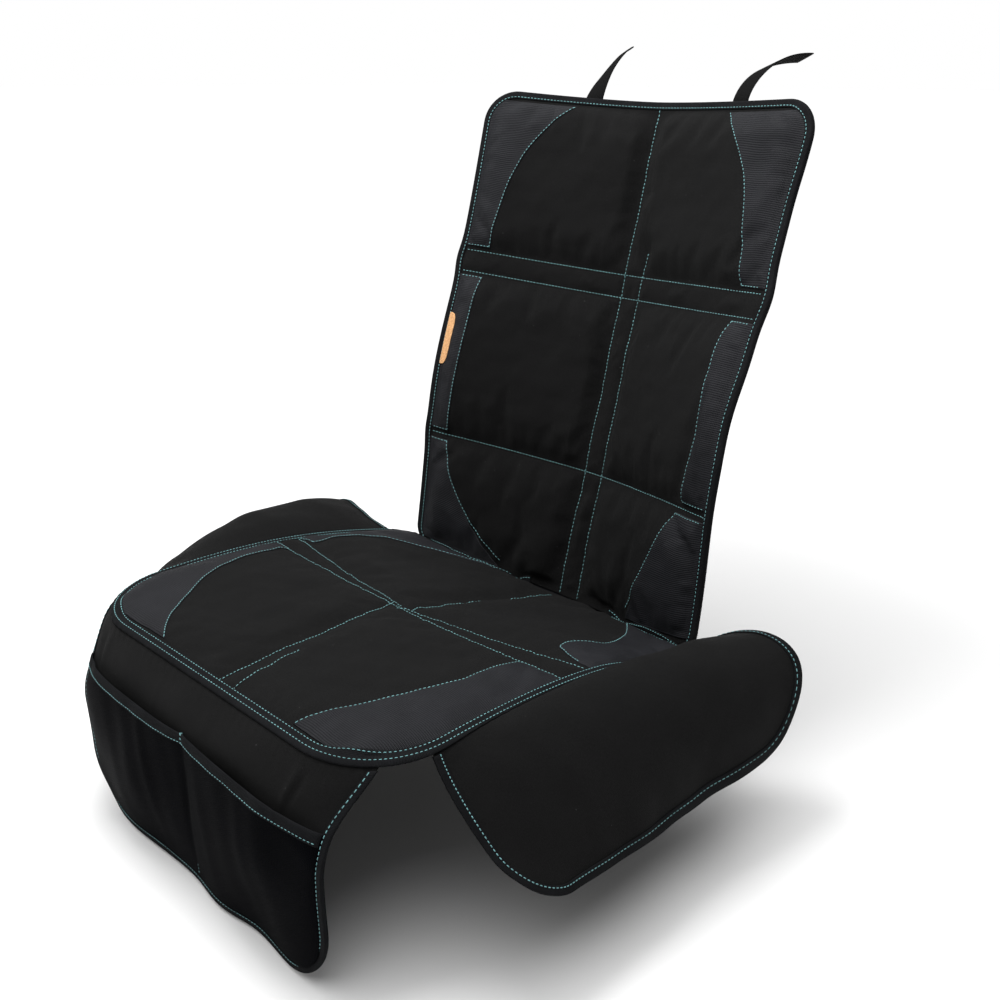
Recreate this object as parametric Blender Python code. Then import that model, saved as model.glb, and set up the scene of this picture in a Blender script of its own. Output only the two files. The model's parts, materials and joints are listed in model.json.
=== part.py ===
"""Car seat protector mat, in the shape it takes on a seat.

Two padded panels are joined along the middle of their crease: the back panel leans on the seat's back,
the seat panel lies on the cushion. Two side wings and a front skirt with a mesh pocket hang from the
seat panel. All cloth edges are bound, and two straps leave the top edge.
Metres, +Z up, the seat's front towards -Y. The origin is the middle of the flat landing under the seat panel.
"""

import math

import bpy
import numpy as np

# Back panel
BACK_WIDTH = 0.488
BACK_HEIGHT = 0.630
BACK_RECLINE = math.radians(14.35)
BACK_HOLLOW_LOW = 0.047
BACK_HOLLOW_HIGH = 0.0565
BACK_HOLLOW_POWER = 1.6
BACK_TOP_RADIUS = 0.042
BACK_LOW_RADIUS = 0.035
LUMBAR_HEIGHT = 0.24
LUMBAR_SPREAD = 0.14
LUMBAR_LEFT = 0.018
LUMBAR_RIGHT = 0.034
SHOULDER_BACK = 0.013
SHOULDER_START = 0.42
SHOULDER_RISE = 0.20

# Seat panel
SEAT_WIDTH = 0.512
SEAT_DEPTH = 0.505
SEAT_TILT = math.radians(7.43)
SEAT_FRONT_RADIUS = 0.095
SEAT_REAR_RADIUS = 0.035
SEAT_CORNER_STEPS = 7
SEAT_CROWN_MIDDLE = 0.0155
SEAT_CROWN_SIDE = 0.026
SEAT_SINK_POWER = 1.4
SEAT_FALL_POWER = 1.2

# Crease between the panels
CREASE_BACK = 0.0456
CREASE_DROP = 0.036
CREASE_REACH_BACK = 0.10
CREASE_REACH_SEAT = 0.12
JOINT_HALF = 0.075
JOINT_CENTRE = 0.0185
JOINT_LEG = 0.016
JOINT_PAST = 0.0015
GAP_SEAT_LEFT = 0.024
GAP_SEAT_RIGHT = 0.005
GAP_BACK_LEFT = 0.005
GAP_BACK_RIGHT = 0.010
GAP_END = 0.004
GAP_FADE = 0.120
GAP_FADE_POWER = 1.5
CREASE_CLEAR = 0.0045

# Sewn folds
STRIP_WIDTH = 0.029
STRIP_START = 0.004
BACK_FOLD_LOW = 0.157
BACK_FOLD_HIGH = 0.386
SEAT_FOLD = 0.242
FOLD_PINCH = 0.55
FOLD_HALF = 0.006

# Cloth
PAD_THICKNESS = 0.009
PAD_EDGE = 0.0036
PAD_ROLL = 0.030
SHEET_THICKNESS = 0.0026
PATCH_THICKNESS = 0.0012
TAPE_THICKNESS = 0.0012
TAPE_WIDTH = 0.011
SEAM_TAPE_OUT = 0.008
SEAM_CLEAR = 0.0025
CLEAR = 0.0004
EDGE_CLEAR = 0.0012
PATCH_CLEAR = 0.0010
PATCH_MARGIN = 0.0016
ROW_GAP = 0.003

# Wings. Each drape is what a wing's rear, middle and front lines do at 1/3, 2/3 and all of its width: out, back
# and up from the seam, as shares of the width
WING_WIDTH = 0.190
WING_FRONT_RADIUS = 0.065
WING_REAR_RADIUS = 0.060
WING_CORNER_STEPS = 1
WING_DRAPE_RIGHT = (
    ((0.27, 0.25, 0.17), (0.56, 0.32, 0.12), (0.70, 0.32, -0.36)),
    ((0.24, 0.00, 0.07), (0.47, 0.00, -0.16), (0.61, 0.00, -0.63)),
    ((0.16, 0.00, -0.21), (0.37, 0.03, -0.42), (0.60, 0.08, -0.62)),
)
WING_DRAPE_LEFT = (
    ((0.29, 0.00, 0.07), (0.59, 0.03, 0.06), (0.79, 0.05, -0.26)),
    ((0.29, 0.00, 0.09), (0.55, 0.00, -0.03), (0.71, 0.00, -0.46)),
    ((0.19, 0.00, -0.20), (0.36, 0.03, -0.42), (0.51, 0.08, -0.68)),
)

# Skirt and pocket
SKIRT_LENGTH = 0.236
SKIRT_HALF = 0.220
SKIRT_SHIFT = 0.006
SKIRT_RADIUS = 0.070
SKIRT_REACH = 0.030
SKIRT_ROLL = 0.063
SKIRT_CORNER_ROLL = 0.045
SKIRT_CORNER_STEPS = 4
SKIRT_WAVE = 0.003
SKIRT_WAVE_TURN = 9.0
SKIRT_ROLL_FALL = 0.86
SKIRT_SPREAD = 0.0725
POCKET_TOP = 0.053
POCKET_MOUTH = 0.011
POCKET_BELLY = 0.007
POCKET_BAG_POWER = 0.7
POCKET_THICKNESS = 0.0011
HEM_WIDTH = 0.011

# Straps and tag
STRAP_WIDTH = 0.025
STRAP_THICKNESS = 0.0016
STRAP_SEWN = 0.020
STRAP_BEND_POWER = 1.7
STRAP_TURN_END = 0.67
STRAP_LEFT_PLACE = -0.097
STRAP_RIGHT_PLACE = 0.122
TAG_LENGTH = 0.073
TAG_WIDTH = 0.0125
TAG_BOTTOM = 0.253

# Flat landing under the seat panel
LANDING_HALF = 0.045
LANDING_START = 0.300
LANDING_END = 0.345


def smooth(x):
    """Eases from 0 to 1."""
    x = np.clip(x, 0.0, 1.0)
    return x * x * (3 - 2 * x)


def corner_inset(distance, radius):
    """How far a round corner of this radius stands in, at this distance from the edge it ends at."""
    return radius - np.sqrt(np.clip(radius**2 - np.clip(radius - distance, 0, radius) ** 2, 0, None))


def through(x, xs, ys):
    """A smooth curve through the points (xs, ys): cubic pieces whose slopes are those of the neighbours."""
    xs, ys = np.asarray(xs, float), np.asarray(ys, float)
    slopes = np.gradient(ys, xs)
    x = np.clip(x, xs[0], xs[-1])
    i = np.clip(np.searchsorted(xs, x, side="right") - 1, 0, len(xs) - 2)
    width = xs[i + 1] - xs[i]
    u = (x - xs[i]) / width
    return (
        ys[i] * (1 + 2 * u) * (1 - u) ** 2
        + ys[i + 1] * u**2 * (3 - 2 * u)
        + slopes[i] * width * u * (1 - u) ** 2
        + slopes[i + 1] * width * u**2 * (u - 1)
    )


def half_width(along, end, half, start_radius, end_radius, start=CREASE_CLEAR, inset=0.0):
    """Half the width of a panel with round corners, at a height along it, with its outline moved in by inset."""
    low = corner_inset(along - start - inset, start_radius - inset)
    high = corner_inset(end - inset - along, end_radius - inset)
    return half - inset - low - high


def gap_lens(across, half, radius, left, right):
    """How far a panel's crease edge stands back beside the joint, where a buckle passes."""
    side = across - JOINT_CENTRE
    reach = half - radius - JOINT_HALF - np.sign(side) * JOINT_CENTRE
    x = np.clip((np.abs(side) - JOINT_HALF) / reach, 0, 1)
    return np.where(side < 0, left, right) * np.sin(np.pi * x) + GAP_END * smooth(x)


def back_surface(across, along):
    """Middle of the back panel: a leaning plane, folded hollow down its centre, its sides pushed forward low
    down by the seat's bolsters."""
    across, along = np.broadcast_arrays(across, along)
    s = across / (BACK_WIDTH / 2)
    hollow = BACK_HOLLOW_LOW + (BACK_HOLLOW_HIGH - BACK_HOLLOW_LOW) * along / BACK_HEIGHT
    lumbar = np.where(s < 0, LUMBAR_LEFT, LUMBAR_RIGHT) * s**2
    lumbar = lumbar * np.exp(-(((along - LUMBAR_HEIGHT) / LUMBAR_SPREAD) ** 2))
    shoulder = SHOULDER_BACK * np.where(s > 0, s**2, 0) * smooth((along - SHOULDER_START) / SHOULDER_RISE)
    depth = hollow * (1 - np.abs(s) ** BACK_HOLLOW_POWER) - lumbar + shoulder
    sink = CREASE_DROP - BACK_HOLLOW_LOW * math.sin(BACK_RECLINE)
    drop = sink * (1 - s**2) * np.exp(-((along / CREASE_REACH_BACK) ** 2))
    y = along * math.sin(BACK_RECLINE) + depth * math.cos(BACK_RECLINE)
    z = along * math.cos(BACK_RECLINE) - depth * math.sin(BACK_RECLINE) - drop
    return np.stack([across, y, z], -1)


def seat_surface(across, along):
    """Middle of the seat panel: a tilted plane, crowned over the cushion, its rear drawn into the crease."""
    across, along = np.broadcast_arrays(across, along)
    s = across / (SEAT_WIDTH / 2)
    x = np.clip(along / SEAT_DEPTH, 0, 1)
    side = SEAT_CROWN_SIDE * np.sin(np.pi * x ** (math.log(0.5) / math.log(SEAT_FOLD / SEAT_DEPTH)))
    rear = np.clip(along / SEAT_FOLD, 0, 1)
    front = np.clip((along - SEAT_FOLD) / (SEAT_DEPTH - SEAT_FOLD), 0, 1)
    behind = SEAT_CROWN_MIDDLE * rear - CREASE_DROP * (1 - rear) ** SEAT_SINK_POWER
    middle = np.where(along < SEAT_FOLD, behind, SEAT_CROWN_MIDDLE * (1 - front**SEAT_FALL_POWER))
    hollow = 1 - s**2
    y = CREASE_BACK * hollow * np.exp(-((along / CREASE_REACH_SEAT) ** 2)) - along * math.cos(SEAT_TILT)
    z = along * math.sin(SEAT_TILT) + side + (middle - side) * hollow
    return np.stack([across, y, z], -1)


def fold_groove(distance):
    """1 on a sewn fold, fading to 0 beside it."""
    return np.exp(-((distance / FOLD_HALF) ** 2))


def pad_thickness(edge, grooves):
    """Thickness of a padded panel: thin at its bound edge and pinched along its sewn folds."""
    full = PAD_EDGE + (PAD_THICKNESS - PAD_EDGE) * smooth(edge / PAD_ROLL)
    pinch = np.clip(sum(grooves), 0, 1) * smooth(edge / TAPE_WIDTH - 0.5)
    return full - (full - PAD_EDGE) * FOLD_PINCH * pinch


def back_thickness(across, along):
    """Thickness of the back panel."""
    half = half_width(along, BACK_HEIGHT, BACK_WIDTH / 2, BACK_LOW_RADIUS, BACK_TOP_RADIUS)
    edge = np.minimum(half - np.abs(across), np.minimum(along - CREASE_CLEAR, BACK_HEIGHT - along))
    lines = (BACK_FOLD_LOW, BACK_FOLD_HIGH, BACK_FOLD_HIGH + STRIP_WIDTH)
    grooves = [fold_groove(along - line) for line in lines]
    grooves += [fold_groove(across - line) for line in (STRIP_START, STRIP_START + STRIP_WIDTH)]
    return pad_thickness(edge, grooves)


def seat_thickness(across, along):
    """Thickness of the seat panel."""
    half = half_width(along, SEAT_DEPTH, SEAT_WIDTH / 2, SEAT_REAR_RADIUS, SEAT_FRONT_RADIUS)
    edge = np.minimum(half - np.abs(across), np.minimum(along - CREASE_CLEAR, SEAT_DEPTH - along))
    grooves = [fold_groove(along - SEAT_FOLD), fold_groove(across - STRIP_START)]
    return pad_thickness(edge, grooves)


def corner_angle(steps):
    """How far this many grid steps turn round the seat's front corner."""
    return steps * math.pi / 2 / SEAT_CORNER_STEPS


def wing_length():
    """Length of the seam that a wing hangs from: the seat's side, and a little way round its front corner."""
    straight = SEAT_DEPTH - SEAT_FRONT_RADIUS - SEAT_REAR_RADIUS - CREASE_CLEAR
    return straight + SEAT_FRONT_RADIUS * corner_angle(WING_CORNER_STEPS)


def wing_seam(v):
    """Point (across, along) of the seat's right edge at a length v from the end of its rear corner."""
    straight = SEAT_DEPTH - SEAT_FRONT_RADIUS - SEAT_REAR_RADIUS - CREASE_CLEAR
    turn = np.clip(v - straight, 0, None) / SEAT_FRONT_RADIUS
    across = SEAT_WIDTH / 2 - SEAT_FRONT_RADIUS * (1 - np.cos(turn))
    return across, CREASE_CLEAR + SEAT_REAR_RADIUS + np.minimum(v, straight) + SEAT_FRONT_RADIUS * np.sin(turn)


def between(x, places, values):
    """The polynomial through values at places, for each x."""
    total = 0.0
    for i, (place, value) in enumerate(zip(places, values)):
        others = [p for k, p in enumerate(places) if k != i]
        weight = np.prod([(x - p) / (place - p) for p in others], axis=0)
        total = total + weight[..., None] * value
    return total


def wing_surface(side, drape):
    """The middle surface of a wing, over (length along the seam from the rear, distance out from the seam)."""
    scale = np.array([side, 1.0, 1.0]) * WING_WIDTH
    lines = [[np.zeros(3)] + [np.array(point) * scale for point in line] for line in drape]

    def surface(v, w):
        v, w = np.broadcast_arrays(v, w)
        across, along = wing_seam(v)
        out = [between(w / WING_WIDTH, (0, 1 / 3, 2 / 3, 1), line) for line in lines]
        return seat_surface(side * across, along) + between(v / wing_length(), (0, 0.5, 1), out)

    return surface


def skirt_seam(v):
    """Point (across, along) of the seat's outline at a length v from the middle of the front seam."""
    flat = SEAT_WIDTH / 2 - SEAT_FRONT_RADIUS
    turn = np.clip(np.abs(v) - flat, 0, None) / SEAT_FRONT_RADIUS
    across = np.minimum(np.abs(v), flat) + SEAT_FRONT_RADIUS * np.sin(turn)
    return np.sign(v) * across, SEAT_DEPTH - SEAT_FRONT_RADIUS * (1 - np.cos(turn))


def skirt_half_length():
    """Half the length of the seam that the skirt hangs from."""
    return SEAT_WIDTH / 2 - SEAT_FRONT_RADIUS + SEAT_FRONT_RADIUS * corner_angle(SKIRT_CORNER_STEPS)


def pocket_half_length():
    """Half the width of the pocket's mesh, which ends just inside the skirt's binding."""
    return skirt_half_length() - SEAM_CLEAR - TAPE_WIDTH - 2 * PATCH_MARGIN


def skirt_surface(v, w):
    """Middle of the skirt: it rolls over the cushion's front edge and hangs, with slow waves at its hem."""
    v, w = np.broadcast_arrays(v, w)
    start = seat_surface(*skirt_seam(v))
    share = v / skirt_half_length()
    roll = SKIRT_ROLL + SKIRT_CORNER_ROLL * share**4
    over = np.sin(np.clip(w / roll, 0, 1) * np.pi / 2)
    spread = smooth(w / SKIRT_SPREAD)
    x = start[..., 0] * (1 - spread) + (share * SKIRT_HALF + SKIRT_SHIFT) * spread
    wave = SKIRT_WAVE * (w / SKIRT_LENGTH) ** 2 * np.sin(share * SKIRT_WAVE_TURN)
    y = start[..., 1] * (1 - over) - (SEAT_DEPTH * math.cos(SEAT_TILT) + SKIRT_REACH) * over - wave
    middle = seat_surface(0.0, SEAT_DEPTH)[2]
    fall = np.minimum(w, SKIRT_ROLL) * SKIRT_ROLL_FALL + np.maximum(w - SKIRT_ROLL, 0)
    whole = SKIRT_LENGTH - SKIRT_ROLL * (1 - SKIRT_ROLL_FALL)
    z = start[..., 2] - fall * (start[..., 2] - middle + whole) / whole
    return np.stack([x, y, z], -1)


def pocket_stand(v, w):
    """How far the pocket's mesh stands off the skirt: sewn down in the middle, it makes two bags, open at the top."""
    share = np.clip(np.abs(v) / pocket_half_length(), 0, 1)
    bag = np.sin(np.pi * share) ** POCKET_BAG_POWER
    depth = np.clip((w - POCKET_TOP) / (SKIRT_LENGTH - TAPE_WIDTH - POCKET_TOP), 0, 1)
    sewn = CLEAR + EDGE_CLEAR * share**2
    return sewn + bag * (POCKET_MOUTH * (1 - depth**2) + POCKET_BELLY * np.sin(np.pi * depth))


class Cloth:
    """A cloth piece: a middle surface over flat coordinates, its thickness, and which way its face points."""

    def __init__(self, surface, thickness, facing=1):
        self.surface = surface
        self.thickness = thickness
        self.facing = facing

    def normal(self, across, along):
        """Unit normal on the face's side."""
        step = 0.0005
        u = self.surface(across + step, along) - self.surface(across - step, along)
        v = self.surface(across, along + step) - self.surface(across, along - step)
        n = np.cross(u, v) * self.facing
        return n / np.linalg.norm(n, axis=-1, keepdims=True)

    def at(self, across, along, side, extra=0.0):
        """Points over the face (side 1) or under it (side -1), extra further out."""
        across, along = np.broadcast_arrays(np.asarray(across, float), np.asarray(along, float))
        lift = side * (self.thickness(across, along) / 2 + extra)
        return self.surface(across, along) + self.normal(across, along) * lift[..., None]


def even(thickness):
    """The same thickness everywhere."""
    return lambda across, along: np.full(np.shape(across), thickness)


BACK = Cloth(back_surface, back_thickness)
SEAT = Cloth(seat_surface, seat_thickness, -1)
RIGHT_WING = Cloth(wing_surface(1, WING_DRAPE_RIGHT), even(SHEET_THICKNESS))
LEFT_WING = Cloth(wing_surface(-1, WING_DRAPE_LEFT), even(SHEET_THICKNESS), -1)
SKIRT = Cloth(skirt_surface, even(SHEET_THICKNESS), -1)

LANDING_ALONG = (LANDING_START + LANDING_END) / 2
LANDING_POINT = SEAT.at(0.0, LANDING_ALONG, -1)
LANDING_NORMAL = -SEAT.normal(0.0, LANDING_ALONG)


def material(name, color, roughness, metallic=0.0):
    """A plain Principled material."""
    made = bpy.data.materials.new(name)
    made.use_nodes = True
    shader = made.node_tree.nodes["Principled BSDF"]
    shader.inputs["Base Color"].default_value = (*color, 1.0)
    shader.inputs["Roughness"].default_value = roughness
    shader.inputs["Metallic"].default_value = metallic
    return made


def add_object(name, points, faces, finish):
    """Makes one mesh object, measured from the landing, and turns its faces outward."""
    mesh = bpy.data.meshes.new(name)
    mesh.from_pydata((points - LANDING_POINT).tolist(), [], faces)
    a, b, c = (np.array([points[face[k]] for face in faces]) for k in (0, 1, 2))
    last = np.array([points[face[-1]] for face in faces])
    volume = (a * np.cross(b, c)).sum() + (a * np.cross(c, last)).sum()
    if volume < 0:
        mesh.flip_normals()
    mesh.materials.append(finish)
    mesh.shade_smooth()
    mesh.set_sharp_from_angle(angle=math.radians(40))
    made = bpy.data.objects.new(name, mesh)
    bpy.context.scene.collection.objects.link(made)
    return made


def grid_faces(rows, columns):
    """Quads over a grid of points, as an array."""
    index = np.arange(rows * columns).reshape(rows, columns)
    return np.stack([index[:-1, :-1], index[:-1, 1:], index[1:, 1:], index[1:, :-1]], -1).reshape(-1, 4)


def add_slab(name, upper, lower, finish):
    """A closed solid between two grids of points."""
    rows, columns = upper.shape[:2]
    count = rows * columns
    index = np.arange(count).reshape(rows, columns)
    rim = np.concatenate([index[0, :-1], index[:-1, -1], index[-1, :0:-1], index[:0:-1, 0]])
    after = np.roll(rim, -1)
    walls = np.stack([after, rim, rim + count, after + count], -1)
    face = grid_faces(rows, columns)
    faces = np.concatenate([face, face[:, [0, 3, 2, 1]] + count, walls]).tolist()
    return add_object(name, np.concatenate([upper.reshape(-1, 3), lower.reshape(-1, 3)]), faces, finish)


def add_loft(name, loops, finish):
    """A closed solid through a row of closed loops, each going out and back, with its two ends capped."""
    count, corners = loops.shape[:2]
    index = np.arange(count * corners).reshape(count, corners)
    after = np.roll(index, -1, axis=1)
    sides = np.stack([index[:-1], after[:-1], after[1:], index[1:]], -1)
    back = corners // 2
    sides[:, back:] = np.roll(sides[:, back:], -1, axis=2)
    caps = [index[0, ::-1].tolist(), index[-1].tolist()]
    return add_object(name, loops.reshape(-1, 3), sides.reshape(-1, 4).tolist() + caps, finish)


def path_inward(across, along, closed_side):
    """Unit vectors across a path of flat points, towards the cloth."""
    du, dv = np.gradient(across), np.gradient(along)
    length = np.hypot(du, dv)
    return -dv / length * closed_side, du / length * closed_side


def add_binding(name, cloth, across, along, side, clear, finish):
    """A tape folded round a cloth's edge along a path of flat points, this clear of the cloth."""
    iu, iv = path_inward(across, along, side)
    fold = clear + TAPE_THICKNESS
    section = (
        (TAPE_WIDTH, 1, fold),
        (-fold, 1, fold),
        (-fold, -1, fold),
        (TAPE_WIDTH, -1, fold),
        (TAPE_WIDTH, -1, clear),
        (-clear, -1, clear),
        (-clear, 1, clear),
        (TAPE_WIDTH, 1, clear),
    )
    loops = [cloth.at(across + iu * inset, along + iv * inset, face, extra) for inset, face, extra in section]
    return add_loft(name, np.stack(loops, 1), finish)


def corner_steps(radius, count):
    """Distances from an edge to the points of a round corner, evenly turned."""
    return radius * (1 - np.cos(np.linspace(0, np.pi / 2, count)))


def back_rows():
    """Heights of the back panel's grid lines, closer at its folds and corners."""
    strip = BACK_FOLD_HIGH + STRIP_WIDTH
    low = CREASE_CLEAR + corner_steps(BACK_LOW_RADIUS, 4)
    high = BACK_HEIGHT - corner_steps(BACK_TOP_RADIUS, 5)
    parts = [
        low,
        np.linspace(low[-1], BACK_FOLD_LOW - FOLD_HALF, 4),
        [BACK_FOLD_LOW],
        np.linspace(BACK_FOLD_LOW + FOLD_HALF, BACK_FOLD_HIGH - FOLD_HALF, 7),
        [BACK_FOLD_HIGH, (BACK_FOLD_HIGH + strip) / 2, strip],
        np.linspace(strip + FOLD_HALF, high[-1], 5),
        high,
    ]
    return np.unique(np.round(np.concatenate(parts), 6))


def seat_rows():
    """Depths of the seat panel's grid lines, closer at its fold, landing and corners."""
    low = CREASE_CLEAR + corner_steps(SEAT_REAR_RADIUS, 4)
    high = SEAT_DEPTH - corner_steps(SEAT_FRONT_RADIUS, SEAT_CORNER_STEPS + 1)
    parts = [
        low,
        np.linspace(low[-1], SEAT_FOLD - FOLD_HALF, 7),
        [SEAT_FOLD],
        np.linspace(SEAT_FOLD + FOLD_HALF, LANDING_START, 3),
        [(LANDING_START + LANDING_END) / 2],
        np.linspace(LANDING_END, high[-1], 3),
        high,
    ]
    return np.unique(np.round(np.concatenate(parts), 6))


def pad_columns(half):
    """Places across a padded panel of its grid lines."""
    left, right = JOINT_CENTRE - JOINT_HALF, JOINT_CENTRE + JOINT_HALF
    strip_end = STRIP_START + STRIP_WIDTH
    outer = np.array([0.0, TAPE_WIDTH, PAD_ROLL])
    parts = [
        -half + outer,
        np.linspace(-half + PAD_ROLL, left, 4),
        [-LANDING_HALF, STRIP_START - FOLD_HALF, STRIP_START],
        [(STRIP_START + strip_end) / 2, strip_end, strip_end + FOLD_HALF],
        [(strip_end + right) / 2],
        np.linspace(right, half - PAD_ROLL, 4),
        half - outer,
    ]
    return np.unique(np.round(np.concatenate(parts), 6))


def panel_grid(rows, half, end, low, high, left, right):
    """Flat coordinates of a panel's grid: its outer columns drawn in round the corners, and its crease edge set
    back at the buckle gaps."""
    columns = pad_columns(half)
    straight = JOINT_CENTRE + JOINT_HALF
    width = half_width(rows[:, None], end, half, low, high)
    share = np.clip(np.abs(columns) - straight, 0, None) / (half - straight)
    across = np.sign(columns) * (np.minimum(np.abs(columns), straight) + share * (width - straight))
    along = rows[:, None] * np.ones_like(columns)
    fade = np.clip(1 - along / GAP_FADE, 0, 1) ** GAP_FADE_POWER
    return across, along + gap_lens(across, half, low, left, right) * fade


def back_grid():
    """Flat grid of the back panel."""
    corners = (BACK_LOW_RADIUS, BACK_TOP_RADIUS)
    return panel_grid(back_rows(), BACK_WIDTH / 2, BACK_HEIGHT, *corners, GAP_BACK_LEFT, GAP_BACK_RIGHT)


def seat_grid():
    """Flat grid of the seat panel."""
    corners = (SEAT_REAR_RADIUS, SEAT_FRONT_RADIUS)
    return panel_grid(seat_rows(), SEAT_WIDTH / 2, SEAT_DEPTH, *corners, GAP_SEAT_LEFT, GAP_SEAT_RIGHT)


def add_back_panel(finish):
    """The padded back panel."""
    across, along = back_grid()
    return add_slab("back_panel", BACK.at(across, along, 1), BACK.at(across, along, -1), finish)


def add_seat_panel(finish):
    """The padded seat panel, its underside pressed flat where it lies on the cushion."""
    across, along = seat_grid()
    under = SEAT.at(across, along, -1)
    landing = np.abs(across) <= LANDING_HALF + 1e-6
    landing &= (along >= LANDING_START - 1e-6) & (along <= LANDING_END + 1e-6)
    height = (under - LANDING_POINT) @ LANDING_NORMAL
    under[landing] -= height[landing][:, None] * LANDING_NORMAL
    return add_slab("seat_panel", SEAT.at(across, along, 1), under, finish)


def rim_of(across, along):
    """A panel's outline from its crease edge's left joint end, up the left side, across and down to the right end."""
    half = JOINT_HALF + 1e-6
    low = across[0]
    left = np.nonzero(low < JOINT_CENTRE - half)[0][::-1]
    right = np.nonzero(low > JOINT_CENTRE + half)[0][::-1]
    parts_u = [low[left[:-1]], across[:, 0], across[-1, 1:-1], across[::-1, -1], low[right[1:]]]
    parts_v = [along[0][left[:-1]], along[:, 0], along[-1, 1:-1], along[::-1, -1], along[0][right[1:]]]
    return np.concatenate(parts_u), np.concatenate(parts_v)


def add_back_binding(finish):
    """The tape round the back panel's edge, up to the joint on both sides."""
    across, along = rim_of(*back_grid())
    return add_binding("back_binding", BACK, across, along, -1, CLEAR, finish)


def add_patch(name, cloth, rows, inner, outer, finish):
    """A flat patch sewn on a panel's face, between two edges that are functions of the height."""
    share = np.linspace(0, 1, 5)
    a, b = inner(rows)[:, None], outer(rows)[:, None]
    across = a + (b - a) * share
    along = rows[:, None] * np.ones_like(share)
    upper = cloth.at(across, along, 1, PATCH_CLEAR + PATCH_THICKNESS)
    return add_slab(name, upper, cloth.at(across, along, 1, PATCH_CLEAR), finish)


def rows_between(rows, start, end):
    """The panel's own grid lines between two heights, and both ends."""
    inside = rows[(rows > start + ROW_GAP) & (rows < end - ROW_GAP)]
    return np.concatenate([[start], inside, [end]])


PATCH_INSET = TAPE_WIDTH + PATCH_MARGIN
BACK_TOP = BACK_HEIGHT - PATCH_INSET
STRIP_TOP = BACK_FOLD_HIGH + STRIP_WIDTH
SEAT_FRONT = SEAT_DEPTH - PATCH_INSET

# Each patch's inner edge, as points (height, distance from the centre) on the flat panel
BACK_UPPER_LEFT = ((STRIP_TOP, 0.202), (0.492, 0.191), (0.546, 0.174), (0.590, 0.145), (BACK_TOP, 0.115))
BACK_UPPER_RIGHT = ((STRIP_TOP, 0.199), (0.492, 0.186), (0.546, 0.165), (0.590, 0.139), (BACK_TOP, 0.117))
BACK_LOWER_LEFT = ((0.025, 0.112), (0.051, 0.152), (0.107, 0.196), (BACK_FOLD_LOW, 0.211))
BACK_LOWER_RIGHT = ((0.031, 0.127), (0.056, 0.146), (0.107, 0.176), (BACK_FOLD_LOW, 0.200))
SEAT_FRONT_LEFT = ((SEAT_FOLD, 0.221), (0.325, 0.212), (0.380, 0.192), (0.438, 0.153), (SEAT_FRONT, 0.098))
SEAT_FRONT_RIGHT = ((SEAT_FOLD, 0.192), (0.322, 0.192), (0.382, 0.175), (0.434, 0.156), (SEAT_FRONT, 0.133))
SEAT_REAR_LEFT = ((0.046, 0.112), (0.076, 0.171), (0.108, 0.206), (0.146, 0.219), (0.205, 0.222))
SEAT_REAR_RIGHT = ((0.027, 0.144), (0.064, 0.174), (0.118, 0.192), (0.164, 0.184), (0.190, 0.186))
MIDDLE_PATCH_LEFT = 0.033
MIDDLE_PATCH_RIGHT = 0.048
MIDDLE_PATCH_MARGIN = 0.006


def patch_edges(side, points, end, half, low, high):
    """The two edges of a side patch: a curve through its points, and a line inside the panel's binding."""
    heights, places = zip(*points)

    def inner(rows):
        return side * through(rows, heights, places)

    def outer(rows):
        return side * half_width(rows, end, half, low, high, CREASE_CLEAR + GAP_END, PATCH_INSET)

    return inner, outer


def add_back_patches(finish):
    """Six patches on the back panel: top corners, sides and bottom corners."""
    half = BACK_WIDTH / 2
    shape = (BACK_HEIGHT, half, BACK_LOW_RADIUS, BACK_TOP_RADIUS)
    rows = back_rows()
    middle_start = BACK_FOLD_LOW + MIDDLE_PATCH_MARGIN
    middle_end = BACK_FOLD_HIGH - MIDDLE_PATCH_MARGIN
    left_place = half - MIDDLE_PATCH_LEFT
    right_place = half - MIDDLE_PATCH_RIGHT
    patches = {
        "back_patch_upper_left": (-1, BACK_UPPER_LEFT),
        "back_patch_upper_right": (1, BACK_UPPER_RIGHT),
        "back_patch_middle_left": (-1, ((middle_start, left_place), (middle_end, left_place))),
        "back_patch_middle_right": (1, ((middle_start, right_place), (middle_end, right_place))),
        "back_patch_lower_left": (-1, BACK_LOWER_LEFT),
        "back_patch_lower_right": (1, BACK_LOWER_RIGHT),
    }
    for name, (side, points) in patches.items():
        inner, outer = patch_edges(side, points, *shape)
        reach = rows_between(rows, points[0][0], points[-1][0])
        add_patch(name, BACK, reach, inner, outer, finish)


def add_seat_patches(finish):
    """Four patches on the seat panel: front corners and rear sides."""
    shape = (SEAT_DEPTH, SEAT_WIDTH / 2, SEAT_REAR_RADIUS, SEAT_FRONT_RADIUS)
    rows = seat_rows()
    patches = {
        "seat_patch_front_left": (-1, SEAT_FRONT_LEFT),
        "seat_patch_front_right": (1, SEAT_FRONT_RIGHT),
        "seat_patch_rear_left": (-1, SEAT_REAR_LEFT),
        "seat_patch_rear_right": (1, SEAT_REAR_RIGHT),
    }
    for name, (side, points) in patches.items():
        inner, outer = patch_edges(side, points, *shape)
        reach = rows_between(rows, points[0][0], points[-1][0])
        add_patch(name, SEAT, reach, inner, outer, finish)


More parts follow.
